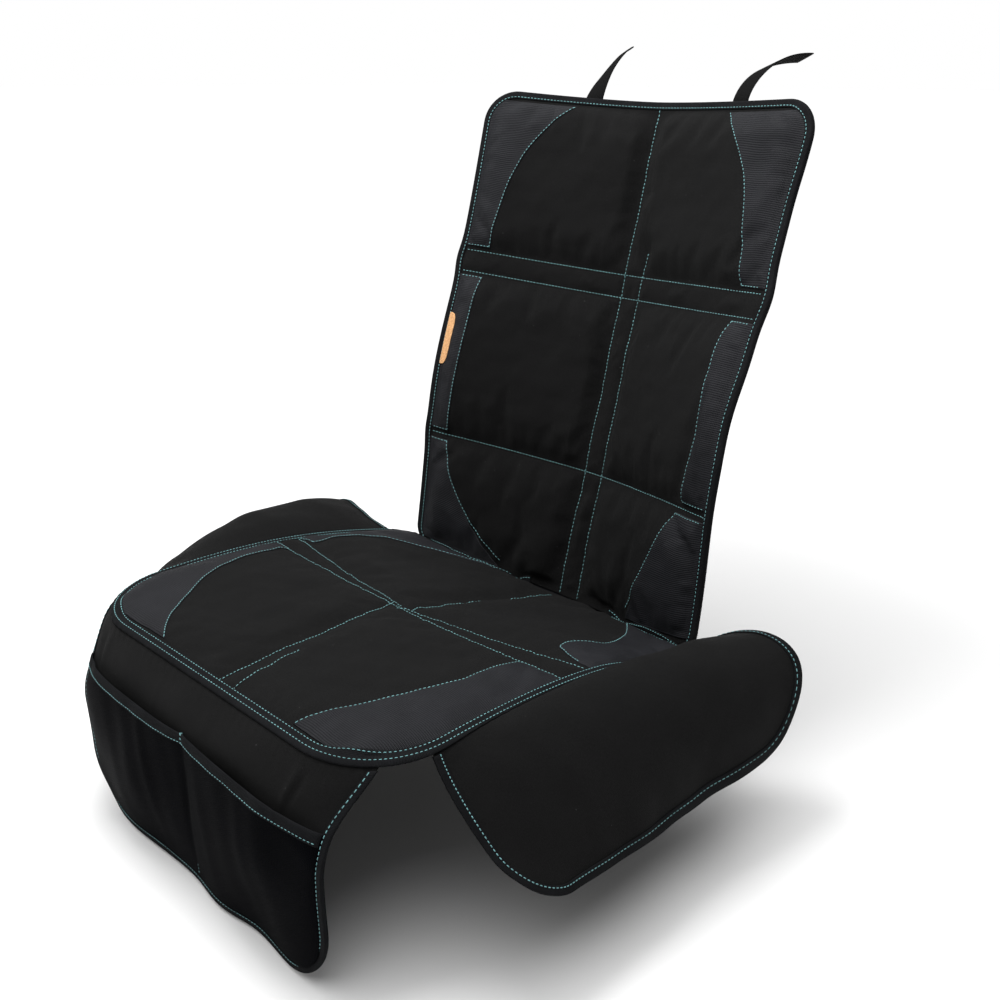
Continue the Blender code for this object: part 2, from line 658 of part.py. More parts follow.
def add_tag(finish):
    """The plain tag sewn in along the left binding, bare of any mark."""
    rows = TAG_BOTTOM + TAG_LENGTH * (1 - np.cos(np.linspace(0, np.pi, 9))) / 2
    middle = TAG_BOTTOM + TAG_LENGTH / 2
    outer = -(BACK_WIDTH / 2 - PATCH_INSET)
    round_end = np.clip(1 - np.abs((rows - middle) / (TAG_LENGTH / 2)) ** 4, 0.04, 1)
    across = outer + (TAG_WIDTH * np.sqrt(round_end))[:, None] * np.linspace(0, 1, 4)
    along = rows[:, None] * np.ones(4)
    over = 2 * PATCH_CLEAR + PATCH_THICKNESS
    upper = BACK.at(across, along, 1, over + PATCH_THICKNESS)
    return add_slab("tag", upper, BACK.at(across, along, 1, over), finish)


def add_crease_joint(finish):
    """The strip that joins the two panels along the middle of the crease: one leg under the seat panel, one
    behind the back panel."""
    across = np.linspace(JOINT_CENTRE - JOINT_HALF + CLEAR, JOINT_CENTRE + JOINT_HALF - CLEAR, 9)
    near, far = CREASE_CLEAR, CREASE_CLEAR + JOINT_LEG
    low, high = CLEAR, CLEAR + TAPE_THICKNESS
    loops = [
        SEAT.at(across, far, -1, low),
        SEAT.at(across, near, -1, low),
        BACK.at(across, near, -1, low),
        BACK.at(across, far, -1, low),
        BACK.at(across, far, -1, high),
        BACK.at(across, -JOINT_PAST, -1, high),
        SEAT.at(across, -JOINT_PAST, -1, high),
        SEAT.at(across, far, -1, high),
    ]
    return add_loft("crease_joint", np.stack(loops, 1), finish)


def sheet_grid(depth, straight, low, high, radius, columns):
    """Flat grid of a sheet, each row reaching from low to high but for the round corners at the far side."""
    rear, front = radius
    stitched = depth - TAPE_WIDTH
    turning = depth - corner_steps(max(radius), 6)
    turning = turning[np.abs(turning - stitched) > TAPE_WIDTH / 4]
    w = np.unique(np.round(np.concatenate([straight, turning, [stitched]]), 5))
    start = low + corner_inset(depth - w, rear)
    end = high - corner_inset(depth - w, front)
    edge = TAPE_WIDTH / (high - low)
    share = np.concatenate([[0], np.linspace(edge, 1 - edge, columns), [1]])
    return start[:, None] + (end - start)[:, None] * share, w[:, None] * np.ones_like(share)


def wing_grid():
    """Flat grid of a wing, with round outer corners."""
    corners = (WING_REAR_RADIUS, WING_FRONT_RADIUS)
    straight = np.linspace(SEAM_CLEAR, WING_WIDTH - max(corners), 7)
    return sheet_grid(WING_WIDTH, straight, SEAM_CLEAR, wing_length() - SEAM_CLEAR, corners, 13)


def add_wing(name, cloth, binding, finish, tape_finish):
    """A side wing and the tape round its three free edges."""
    v, w = wing_grid()
    add_slab(name, cloth.at(v, w, 1), cloth.at(v, w, -1), finish)
    start = np.searchsorted(w[:, 0], SEAM_TAPE_OUT + PATCH_MARGIN)
    v, w = v[start:], w[start:]
    across = np.concatenate([v[:, 0], v[-1, 1:-1], v[::-1, -1]])
    along = np.concatenate([w[:, 0], w[-1, 1:-1], w[::-1, -1]])
    add_binding(binding, cloth, across, along, -1, EDGE_CLEAR, tape_finish)


def pocket_rows():
    """Distances down the skirt of the grid lines that it shares with its pocket, above the round corners."""
    return np.linspace(POCKET_TOP, SKIRT_LENGTH - SKIRT_RADIUS, 7)


def skirt_grid():
    """Flat grid of the skirt, with round lower corners."""
    half = skirt_half_length() - SEAM_CLEAR
    straight = np.concatenate([np.linspace(SEAM_CLEAR, POCKET_TOP, 5), pocket_rows()])
    return sheet_grid(SKIRT_LENGTH, straight, -half, half, (SKIRT_RADIUS, SKIRT_RADIUS), 19)


def add_skirt(finish, tape_finish):
    """The front skirt and the tape round its three free edges, which also holds the pocket's mesh."""
    v, w = skirt_grid()
    add_slab("front_skirt", SKIRT.at(v, w, 1), SKIRT.at(v, w, -1), finish)
    start = np.searchsorted(w[:, 0], SEAM_TAPE_OUT + PATCH_MARGIN)
    v, w = v[start:], w[start:]
    across = np.concatenate([v[:, 0], v[-1, 1:-1], v[::-1, -1]])
    along = np.concatenate([w[:, 0], w[-1, 1:-1], w[::-1, -1]])
    add_binding("skirt_binding", SKIRT, across, along, -1, EDGE_CLEAR, tape_finish)


def pocket_grid():
    """Flat grid of the pocket's mesh, just inside the skirt's tape."""
    inset = TAPE_WIDTH + PATCH_MARGIN
    half = pocket_half_length()
    bottom = SKIRT_LENGTH - inset
    radius = SKIRT_RADIUS - inset
    out = np.unique(np.round(np.concatenate([pocket_rows(), bottom - corner_steps(radius, 6)]), 6))
    ends = half - corner_inset(bottom - out, radius)
    share = np.linspace(-1, 1, 23)
    return ends[:, None] * share, out[:, None] * np.ones_like(share)


def add_pocket(mesh_finish, hem_finish):
    """The mesh pocket on the skirt, sewn down its middle into two bags, and the folded hem on its top edge."""
    v, w = pocket_grid()
    stand = pocket_stand(v, w)
    add_slab("pocket_mesh", SKIRT.at(v, w, 1, stand + POCKET_THICKNESS), SKIRT.at(v, w, 1, stand), mesh_finish)
    v = v[0]
    front = POCKET_THICKNESS + CLEAR

    def row(drop, lift):
        w = np.full_like(v, POCKET_TOP + drop)
        return SKIRT.at(v, w, 1, pocket_stand(v, w) + lift)

    loops = [
        row(HEM_WIDTH, front + TAPE_THICKNESS),
        row(-CLEAR - TAPE_THICKNESS, front + TAPE_THICKNESS),
        row(-CLEAR - TAPE_THICKNESS, 0.0),
        row(-CLEAR, 0.0),
        row(-CLEAR, front),
        row(HEM_WIDTH, front),
    ]
    add_loft("pocket_hem", np.stack(loops, 1), hem_finish)


def seam_side(u, v, out, lift):
    """Points over the wings and the skirt beside the seat's outline, out from the seam; between a wing and the
    skirt they are carried over from one to the other."""
    front = SEAT_DEPTH - SEAT_FRONT_RADIUS
    across = np.abs(u)
    turn = np.arctan2(v - front, across - (SEAT_WIDTH / 2 - SEAT_FRONT_RADIUS))
    side_length = v - CREASE_CLEAR - SEAT_REAR_RADIUS
    corner_length = front - CREASE_CLEAR - SEAT_REAR_RADIUS + SEAT_FRONT_RADIUS * turn
    side_length = np.where(v > front, corner_length, side_length)
    flat = SEAT_WIDTH / 2 - SEAT_FRONT_RADIUS
    front_length = np.where(across > flat, flat + SEAT_FRONT_RADIUS * (np.pi / 2 - turn), across)
    edge = seat_surface(u, v)
    right = RIGHT_WING.at(side_length, out, 1, lift) - edge
    left = LEFT_WING.at(side_length, out, 1, lift) - edge
    below = SKIRT.at(np.sign(u) * front_length, out, 1, lift) - edge
    start, end = corner_angle(WING_CORNER_STEPS), np.pi / 2 - corner_angle(SKIRT_CORNER_STEPS)
    share = np.where(v > front, np.clip((turn - start) / (end - start), 0, 1), 0.0)[:, None]
    side = np.where((u > 0)[:, None], right, left)
    return edge + side * (1 - share) + below * share


def add_seam_tape(finish):
    """The tape over the seam between the seat panel and the wings and skirt, sewn along both its edges."""
    across, along = seat_grid()
    keep = np.nonzero(along[:, 0] > CREASE_CLEAR + SEAT_REAR_RADIUS - 1e-4)[0]
    u = np.concatenate([across[keep, 0], across[-1, 1:-1], across[keep, -1][::-1]])
    v = np.concatenate([along[keep, 0], along[-1, 1:-1], along[keep, -1][::-1]])
    iu, iv = path_inward(u, v, -1)
    low, high = EDGE_CLEAR, EDGE_CLEAR + TAPE_THICKNESS
    loops = [
        SEAT.at(u + iu * TAPE_WIDTH, v + iv * TAPE_WIDTH, 1, low),
        SEAT.at(u + iu * TAPE_WIDTH, v + iv * TAPE_WIDTH, 1, high),
        SEAT.at(u, v, 1, high),
        seam_side(u, v, SEAM_TAPE_OUT / 2, high),
        seam_side(u, v, SEAM_TAPE_OUT, high),
        seam_side(u, v, SEAM_TAPE_OUT, low),
        seam_side(u, v, SEAM_TAPE_OUT / 2, low),
        SEAT.at(u, v, 1, low),
    ]
    return add_loft("seat_seam_tape", np.stack(loops, 1), finish)


def add_rear_bindings(finish):
    """The tapes on the seat panel's two free rear edges, from the seam to the joint."""
    across, along = seat_grid()
    corner = np.nonzero(along[:, 0] > CREASE_CLEAR + SEAT_REAR_RADIUS - 1e-4)[0][0]
    half = JOINT_HALF + 1e-6
    low = across[0]
    left = np.nonzero(low < JOINT_CENTRE - half)[0]
    right = np.nonzero(low > JOINT_CENTRE + half)[0]
    left_u = np.concatenate([across[1:corner, 0][::-1], low[left]])
    left_v = np.concatenate([along[1:corner, 0][::-1], along[0][left]])
    right_u = np.concatenate([low[right], across[1:corner, -1]])
    right_v = np.concatenate([along[0][right], along[1:corner, -1]])
    add_binding("seat_rear_binding_left", SEAT, left_u, left_v, 1, EDGE_CLEAR, finish)
    add_binding("seat_rear_binding_right", SEAT, right_u, right_v, 1, EDGE_CLEAR, finish)


def add_strap(name, place, rise, reach, twist, finish):
    """A strap of flat webbing: sewn behind the back panel's top edge, it rises and runs back to a headrest post,
    turning as it goes."""
    top = BACK_HEIGHT + TAPE_THICKNESS + CLEAR
    behind = 3 * CLEAR + TAPE_THICKNESS + STRAP_THICKNESS / 2
    sewn = np.array([top - STRAP_SEWN, top - STRAP_SEWN / 2, top])
    edge = BACK.at(place, sewn, -1, behind)
    cross = BACK.at(place + STRAP_WIDTH / 2, sewn, -1, behind) - BACK.at(place - STRAP_WIDTH / 2, sewn, -1, behind)
    up = edge[2] - edge[1]
    up = up / np.linalg.norm(up)
    u = np.linspace(0, 1, 13)[1:, None]
    free = edge[2] + up * rise * (1 - (1 - u) ** 2) + np.array([0.0, reach, 0.0]) * u**STRAP_BEND_POWER
    line = np.concatenate([edge, free])
    tangent = np.gradient(line, axis=0)
    tangent /= np.linalg.norm(tangent, axis=1, keepdims=True)
    level = smooth(u * 2)
    cross = cross / np.linalg.norm(cross, axis=1, keepdims=True)
    cross = np.concatenate([cross, cross[2] * (1 - level) + np.array([1.0, 0.0, 0.0]) * level])
    wide = cross - tangent * (tangent * cross).sum(1, keepdims=True)
    wide /= np.linalg.norm(wide, axis=1, keepdims=True)
    flat = np.cross(wide, tangent)
    turn = np.concatenate([np.zeros((3, 1)), twist * smooth(u / STRAP_TURN_END)])
    wide, flat = wide * np.cos(turn) + flat * np.sin(turn), flat * np.cos(turn) - wide * np.sin(turn)
    w, t = STRAP_WIDTH / 2, STRAP_THICKNESS / 2
    loops = np.stack([line + wide * a + flat * b for a, b in ((-w, -t), (w, -t), (w, t), (-w, t))], 1)
    return add_loft(name, loops, finish)


def clear_scene():
    """Removes the objects the file opened with."""
    for old in list(bpy.data.objects):
        bpy.data.objects.remove(old, do_unlink=True)


clear_scene()
cloth = material("woven_cloth", (0.016, 0.016, 0.017), 0.85)
patch_cloth = material("ribbed_patch_cloth", (0.030, 0.030, 0.033), 0.70)
mesh_cloth = material("pocket_mesh_cloth", (0.008, 0.008, 0.010), 0.80)
tape = material("binding_tape", (0.009, 0.009, 0.010), 0.75)
webbing = material("webbing", (0.012, 0.012, 0.012), 0.70)
cork = material("tag_cork", (0.55, 0.31, 0.13), 0.80)

add_back_panel(cloth)
add_seat_panel(cloth)
add_crease_joint(tape)
add_back_patches(patch_cloth)
add_seat_patches(patch_cloth)
add_wing("left_wing", LEFT_WING, "left_wing_binding", cloth, tape)
add_wing("right_wing", RIGHT_WING, "right_wing_binding", cloth, tape)
add_skirt(cloth, tape)
add_pocket(mesh_cloth, tape)
add_back_binding(tape)
add_seam_tape(tape)
add_rear_bindings(tape)
add_strap("strap_left", STRAP_LEFT_PLACE, 0.054, 0.060, math.radians(46), webbing)
add_strap("strap_right", STRAP_RIGHT_PLACE, 0.052, 0.128, math.radians(15), webbing)
add_tag(cork)
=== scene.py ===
import json
import math

import bpy
import numpy as np
from mathutils import Matrix, Vector

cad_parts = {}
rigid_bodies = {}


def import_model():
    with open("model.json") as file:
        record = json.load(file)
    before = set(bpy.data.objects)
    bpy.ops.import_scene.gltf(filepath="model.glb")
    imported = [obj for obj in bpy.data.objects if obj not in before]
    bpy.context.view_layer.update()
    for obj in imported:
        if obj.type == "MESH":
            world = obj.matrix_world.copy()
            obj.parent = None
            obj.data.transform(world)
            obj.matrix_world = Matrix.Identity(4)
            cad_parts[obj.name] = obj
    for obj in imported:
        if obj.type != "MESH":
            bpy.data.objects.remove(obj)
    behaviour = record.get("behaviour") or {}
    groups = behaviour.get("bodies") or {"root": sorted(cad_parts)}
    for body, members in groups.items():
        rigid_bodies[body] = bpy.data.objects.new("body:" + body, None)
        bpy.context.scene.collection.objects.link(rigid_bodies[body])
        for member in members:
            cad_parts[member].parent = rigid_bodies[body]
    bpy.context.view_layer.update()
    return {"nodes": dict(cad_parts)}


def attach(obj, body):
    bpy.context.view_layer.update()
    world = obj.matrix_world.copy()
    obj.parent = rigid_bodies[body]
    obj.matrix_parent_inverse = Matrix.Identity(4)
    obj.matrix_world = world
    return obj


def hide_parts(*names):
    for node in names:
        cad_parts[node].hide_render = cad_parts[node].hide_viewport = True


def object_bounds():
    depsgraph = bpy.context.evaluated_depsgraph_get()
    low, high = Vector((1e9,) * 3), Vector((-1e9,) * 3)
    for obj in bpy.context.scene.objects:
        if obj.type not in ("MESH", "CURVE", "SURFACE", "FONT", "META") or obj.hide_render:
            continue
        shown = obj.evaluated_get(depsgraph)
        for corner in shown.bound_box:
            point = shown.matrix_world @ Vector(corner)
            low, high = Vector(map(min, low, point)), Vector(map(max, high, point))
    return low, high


for opened in list(bpy.data.objects):
    bpy.data.objects.remove(opened, do_unlink=True)
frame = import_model()

# Back panel: black woven cloth quilted over thin foam, 488 by 630 mm flat. It leans on the seat's back,
# which pushes its lower sides forward, and three sewn folds across it and a sewn strip up its middle let it
# fold up.
CREASE_FROM_LANDING = np.array([0.0, 0.32002, -0.04992])
BACK_WIDTH = 0.488
BACK_HEIGHT = 0.630
BACK_RECLINE = math.radians(14.35)
BACK_HOLLOW_LOW = 0.047
BACK_HOLLOW_HIGH = 0.0565
BACK_HOLLOW_POWER = 1.6
BACK_TOP_RADIUS = 0.042
BACK_LOW_RADIUS = 0.021
LUMBAR_HEIGHT = 0.24
LUMBAR_SPREAD = 0.14
LUMBAR_LEFT = 0.018
LUMBAR_RIGHT = 0.034
SHOULDER_BACK = 0.013
SHOULDER_START = 0.42
SHOULDER_RISE = 0.20
BACK_TUCK = 0.020
BACK_TUCK_BACK = 0.004
CREASE_DROP = 0.036
CREASE_REACH_BACK = 0.10
CREASE_CLEAR = 0.0045
JOINT_HALF = 0.075
JOINT_CENTRE = 0.0185
GAP_BACK_LEFT = 0.005
GAP_BACK_RIGHT = 0.010
GAP_END = 0.004
GAP_FADE = 0.120
GAP_FADE_POWER = 1.5
PAD_THICKNESS = 0.009
PAD_EDGE = 0.0036
PAD_ROLL = 0.030
PUFF = 0.0034
PUFF_REACH = 0.017
GROOVE_DEPTH = 0.0012
GROOVE_WIDTH = 0.0050
PUFF_POWER = 1.3
PUCKER = 0.00035
PUCKER_REACH = 0.008
LOOSE_WIDE = 0.0010
LOOSE_NEAR = 0.00035
EDGE_FADE = 0.008
SWELL_PITCH = 0.0065
SWELL_STEPS = 18
SWELL_MOST = 0.0085
SWELL_LOW = 0.010
SWELL_MARGIN = 0.008
SWELL_COLUMNS = (0.002, 0.033)
SWELL_NEAR = 0.010
BACK_SWELL_SHARE = 1.1
SWELL_SETTINGS = {
    "quality": 6, "mass": 0.3, "tension_stiffness": 25, "compression_stiffness": 25, "shear_stiffness": 8,
    "bending_stiffness": 3, "air_damping": 4, "shrink_min": -0.014, "use_pressure": True,
    "uniform_pressure_force": 7.0,
}
TAPE_WIDTH = 0.008
GRID_PITCH = 0.0032
BACK_FOLDS = (0.157, 0.386, 0.415)
STRIP_LEFT = ((0.0, -0.003), (0.157, 0.004), (0.386, 0.004), (0.630, 0.004))
STRIP_RIGHT = ((0.0, 0.029), (0.157, 0.033), (0.386, 0.033), (0.415, 0.033), (0.445, 0.036))
STRIP_RIGHT_END = 0.445
STRIP_PLACES = (0.004, 0.033)
CLOTH_BLACK = (0.0074, 0.0074, 0.0075)
WEAVE_PITCH = 0.0009

# Bulges of the back panel's sides: (height along it, spread, distance out)
BULGES_RIGHT = (
    (0.412, 0.030, 0.0060), (0.330, 0.045, 0.0035), (0.220, 0.050, 0.0040), (0.520, 0.040, -0.0020),
)
BULGES_LEFT = ((0.402, 0.022, 0.0030), (0.157, 0.020, 0.0015))

# Soft creases in the back panel, in mm: from (across, along) to (across, along), half width, height
BACK_CREASES = (
    (-10, 372, -6, 340, 7, -2.2), (14, 400, 24, 392, 6, -2.0), (-6, 398, -50, 392, 6, 0.8),
    (-3, 146, -14, 100, 7, -1.8), (12, 146, 8, 112, 7, -2.0), (40, 150, 60, 90, 9, 1.2),
    (30, 604, 36, 440, 7, 1.2), (20, 610, 22, 450, 6, -1.1), (-8, 600, -6, 430, 8, -1.2),
    (60, 440, 150, 520, 14, 0.9), (-60, 440, -150, 500, 16, 1.0), (-40, 560, -150, 500, 18, 0.9),
    (50, 380, 150, 330, 14, -0.8), (-40, 360, -180, 330, 16, 0.9), (-120, 180, -30, 330, 18, 0.9),
    (60, 190, 160, 270, 16, 0.9), (92, 8, 72, 70, 5, -2.4), (93, 8, 98, 80, 5, 1.8),
    (95, 8, 122, 70, 6, -2.0), (92, 6, 60, 42, 5, 1.4), (-56, 6, -70, 60, 6, -1.6),
    (-56, 6, -90, 48, 6, 1.2), (-30, 10, -60, 120, 14, 0.9),
)


def smooth(x):
    """Eases from 0 to 1: three squares less two cubes."""
    x = np.clip(x, 0.0, 1.0)
    return x * x * (3 - 2 * x)


def corner_inset(distance, radius):
    """How far a round corner stands in at a distance from the edge it ends at: the radius less a circle's
    chord."""
    return radius - np.sqrt(np.clip(radius**2 - np.clip(radius - distance, 0, radius) ** 2, 0, None))


def half_width(t, end, half, low, high, inset=0.0):
    """Half the width of a panel at a height along it: its half width less both round corners' insets."""
    lower = corner_inset(t - CREASE_CLEAR - inset, low - inset)
    upper = corner_inset(end - inset - t, high - inset)
    return half - inset - lower - upper


def gap_lens(a, half, radius, left, right):
    """How far a panel's crease edge stands back beside the joint: half a sine wave from the joint's end to
    the corner, and a small step."""
    side = a - JOINT_CENTRE
    reach = half - radius - JOINT_HALF - np.sign(side) * JOINT_CENTRE
    x = np.clip((np.abs(side) - JOINT_HALF) / reach, 0, 1)
    return np.where(side < 0, left, right) * np.sin(np.pi * x) + GAP_END * smooth(x)


def back_tuck(a, t):
    """Share of the tuck, from 0 to 1: the lower edge beside the joint goes down behind the seat panel's
    edge."""
    beside = smooth((np.abs(a - JOINT_CENTRE) - JOINT_HALF + 0.004) / 0.035)
    return beside * np.clip(1 - np.maximum(t, CREASE_CLEAR) / GAP_FADE, 0, 1) ** 2


def back_middle(a, t):
    """Middle of the back panel: a leaning plane, hollow across by a power curve, with bell-shaped
    pushes."""
    a, t = np.broadcast_arrays(a, t)
    s = a / (BACK_WIDTH / 2)
    hollow = BACK_HOLLOW_LOW + (BACK_HOLLOW_HIGH - BACK_HOLLOW_LOW) * t / BACK_HEIGHT
    lumbar = np.exp(-(((t - LUMBAR_HEIGHT) / LUMBAR_SPREAD) ** 2))
    push = np.where(s < 0, LUMBAR_LEFT, LUMBAR_RIGHT) * s**2 * lumbar
    shoulder = SHOULDER_BACK * np.where(s > 0, s**2, 0) * smooth((t - SHOULDER_START) / SHOULDER_RISE)
    depth = hollow * (1 - np.abs(s) ** BACK_HOLLOW_POWER) - push + shoulder + BACK_TUCK_BACK * back_tuck(a, t)
    sink = CREASE_DROP - BACK_HOLLOW_LOW * math.sin(BACK_RECLINE)
    drop = sink * (1 - s**2) * np.exp(-((t / CREASE_REACH_BACK) ** 2))
    y = t * math.sin(BACK_RECLINE) + depth * math.cos(BACK_RECLINE)
    z = t * math.cos(BACK_RECLINE) - depth * math.sin(BACK_RECLINE) - drop
    return np.stack([a, y, z], -1) + CREASE_FROM_LANDING


def creases(a, t, marks):
    """Soft ridges and dents: each is a bell curve of the distance to a segment, fading towards both its
    ends."""
    total = np.zeros(np.broadcast(a, t).shape)
    for a0, t0, a1, t1, width, height in np.array(marks) / 1000:
        da, dt = a1 - a0, t1 - t0
        x = np.clip(((a - a0) * da + (t - t0) * dt) / (da**2 + dt**2), 0, 1)
        away = np.hypot(a - a0 - x * da, t - t0 - x * dt)
        total += height * np.exp(-((away / width) ** 2)) * (0.3 + 0.7 * np.sin(np.pi * x))
    return total


def ripples(a, t, size, seed, waves=9):
    """Uneven cloth: a sum of sine waves in seeded directions, each about this long."""
    draw = np.random.default_rng(seed)
    total = 0.0
    for _ in range(waves):
        turn, phase, stretch = draw.uniform(0, 2 * np.pi), draw.uniform(0, 2 * np.pi), draw.uniform(0.7, 1.5)
        total = total + np.sin((a * np.cos(turn) + t * np.sin(turn)) * 2 * np.pi / (size * stretch) + phase)
    return total / math.sqrt(waves)


def slab_faces(rows, columns):
    """Four-cornered faces of a closed slab between two grids of points: its top, its underside and the
    walls round its rim. Also returns the rim's points, in order round it."""
    count = rows * columns
    index = np.arange(count).reshape(rows, columns)
    top = np.stack([index[:-1, :-1], index[:-1, 1:], index[1:, 1:], index[1:, :-1]], -1).reshape(-1, 4)
    rim = np.concatenate([index[0, :-1], index[:-1, -1], index[-1, :0:-1], index[:0:-1, 0]])
    after = np.roll(rim, -1)
    walls = np.stack([after, rim, rim + count, after + count], -1)
    return np.concatenate([top, top[:, ::-1] + count, walls]), rim


def swelling(middle, facing, across, along, nearest, share):
    """Swells a pad as cloth: a coarse closed slab over the middle surface, its underside, rim and sewn
    lines held still, its face a little larger than its place and pushed out by pressure. Returns a share of
    the height gained, capped, and read between the grid's points in straight shares."""

    def thin(a, t):
        return np.full(a.shape, PAD_EDGE)

    a, t = np.meshgrid(across, along)
    rest = Cloth(middle, thin, thin, facing)
    upper, lower, normal = rest.at(a, t), rest.at(a, t, -1), rest.normal(a, t)
    rows, columns = a.shape
    faces, rim = slab_faces(rows, columns)
    if facing < 0:
        faces = faces[:, ::-1]
    mesh = bpy.data.meshes.new("swelling")
    mesh.from_pydata(np.concatenate([upper.reshape(-1, 3), lower.reshape(-1, 3)]), [], faces.tolist())
    mesh.update()
    pad = bpy.data.objects.new("swelling", mesh)
    bpy.context.scene.collection.objects.link(pad)
    still = (nearest(a, t) < SWELL_PITCH * 0.5).ravel()
    still[rim] = True
    held = np.concatenate([np.nonzero(still)[0], a.size + np.arange(a.size)])
    pad.vertex_groups.new(name="held").add(held.tolist(), 1.0, "REPLACE")
    cloth = pad.modifiers.new("swell", "CLOTH")
    for setting, value in SWELL_SETTINGS.items():
        setattr(cloth.settings, setting, value)
    cloth.settings.vertex_group_mass = "held"
    cloth.settings.effector_weights.gravity = 0
    for step in range(1, SWELL_STEPS + 1):
        bpy.context.scene.frame_set(step)
    swollen = pad.evaluated_get(bpy.context.evaluated_depsgraph_get()).data
    points = np.empty(len(swollen.vertices) * 3)
    swollen.vertices.foreach_get("co", points)
    moved = points.reshape(-1, 3)[:a.size].reshape(upper.shape) - upper
    height = share * np.clip((moved * normal).sum(-1), -0.001, SWELL_MOST)
    bpy.data.objects.remove(pad, do_unlink=True)
    bpy.data.meshes.remove(mesh)
    bpy.context.scene.frame_set(1)

    def gained(a, t):
        x, y = np.interp(a, across, np.arange(columns)), np.interp(t, along, np.arange(rows))
        i, j = np.minimum(y.astype(int), rows - 2), np.minimum(x.astype(int), columns - 2)
        y, x = y - i, x - j
        low = height[i, j] * (1 - x) + height[i, j + 1] * x
        high = height[i + 1, j] * (1 - x) + height[i + 1, j + 1] * x
        return low * (1 - y) + high * y

    return gained


def quilted(edge, lines, a, t, marks, seed, swell):
    """Height of a quilted face: foam rising from the bound edge, swollen, and puffed by a falling power of
    the distance to the nearest sewn line, with a narrow groove and puckers on each line, and soft creases
    and ripples."""
    nearest = np.clip(np.minimum(np.minimum.reduce(lines), edge), 0, None)
    inner = smooth((edge - TAPE_WIDTH) / EDGE_FADE)
    rise = PAD_EDGE / 2 + (PAD_THICKNESS - PAD_EDGE) / 2 * smooth(edge / PAD_ROLL)
    puff = PUFF * (1 - np.exp(-((nearest / PUFF_REACH) ** PUFF_POWER)))
    groove = GROOVE_DEPTH * np.exp(-((np.minimum.reduce(lines) / GROOVE_WIDTH) ** 2))
    pucker = PUCKER * ripples(a, t, 0.011, seed + 1) * np.exp(-nearest / PUCKER_REACH)
    loose = LOOSE_WIDE * ripples(a, t, 0.11, seed) + LOOSE_NEAR * ripples(a, t, 0.035, seed + 2)
    loose = loose + creases(a, t, marks)
    swollen = swell(a, t) * (1 - np.exp(-((nearest / SWELL_NEAR) ** 2)))
    return rise + inner * (puff - groove + pucker + loose + swollen)


def line_at(points, t):
    """Where a sewn line given as (along, across) points lies at each height along the panel."""
    along, across = zip(*points)
    return np.interp(t, along, across)


def side_bulge(a, t):
    """How far the back panel's sides stand out where the pillows and the folds push them: bell curves."""
    right, left = (
        sum(out * np.exp(-(((t - height) / spread) ** 2)) for height, spread, out in bulges)
        for bulges in (BULGES_RIGHT, BULGES_LEFT)
    )
    return np.where(a > 0, right, left)


def back_edge(a, t):
    """Distance to the back panel's outline."""
    t = t + BACK_TUCK * back_tuck(a, t)
    half = half_width(t, BACK_HEIGHT, BACK_WIDTH / 2, BACK_LOW_RADIUS, BACK_TOP_RADIUS) + side_bulge(a, t)
    return np.minimum(half - np.abs(a), np.minimum(t - CREASE_CLEAR, BACK_HEIGHT - t))


def back_lines_away(a, t):
    """Distances to each of the back panel's sewn lines."""
    lines = [np.abs(t - fold) for fold in BACK_FOLDS]
    lines.append(np.abs(a - line_at(STRIP_LEFT, t)))
    lines.append(np.hypot(a - line_at(STRIP_RIGHT, t), np.clip(t - STRIP_RIGHT_END, 0, None) * 0.6))
    return lines


def back_face(a, t):
    """Height of the back panel's face."""
    return quilted(back_edge(a, t), back_lines_away(a, t), a, t, BACK_CREASES, 11, back_swell)


def pad_under(edge):
    """Height of a padded panel's underside: half its foam, thinner at the bound edge."""
    return PAD_EDGE / 2 + (PAD_THICKNESS - PAD_EDGE) / 2 * smooth(edge / PAD_ROLL)


class Cloth:
    """A piece of cloth as it lies: a middle surface over flat coordinates, the heights of its face and its
    underside over that surface, and the side that its face looks to."""

    def __init__(self, middle, face, under, facing=1):
        self.middle = middle
        self.face = face
        self.under = under
        self.facing = facing

    def normal(self, a, t):
        """Unit normal on the face's side: the cross product of the middle surface's two central
        differences."""
        step = 0.0005
        u = self.middle(a + step, t) - self.middle(a - step, t)
        v = self.middle(a, t + step) - self.middle(a, t - step)
        n = np.cross(u, v) * self.facing
        return n / np.linalg.norm(n, axis=-1, keepdims=True)

    def at(self, a, t, side=1, extra=0.0):
        """Points over the face (side 1) or under the underside (side -1): the middle moved along its normal
        by the height there and by extra."""
        a, t = np.broadcast_arrays(np.asarray(a, float), np.asarray(t, float))
        height = self.face(a, t) if side > 0 else self.under(a, t)
        return self.middle(a, t) + self.normal(a, t) * (side * (height + extra))[..., None]


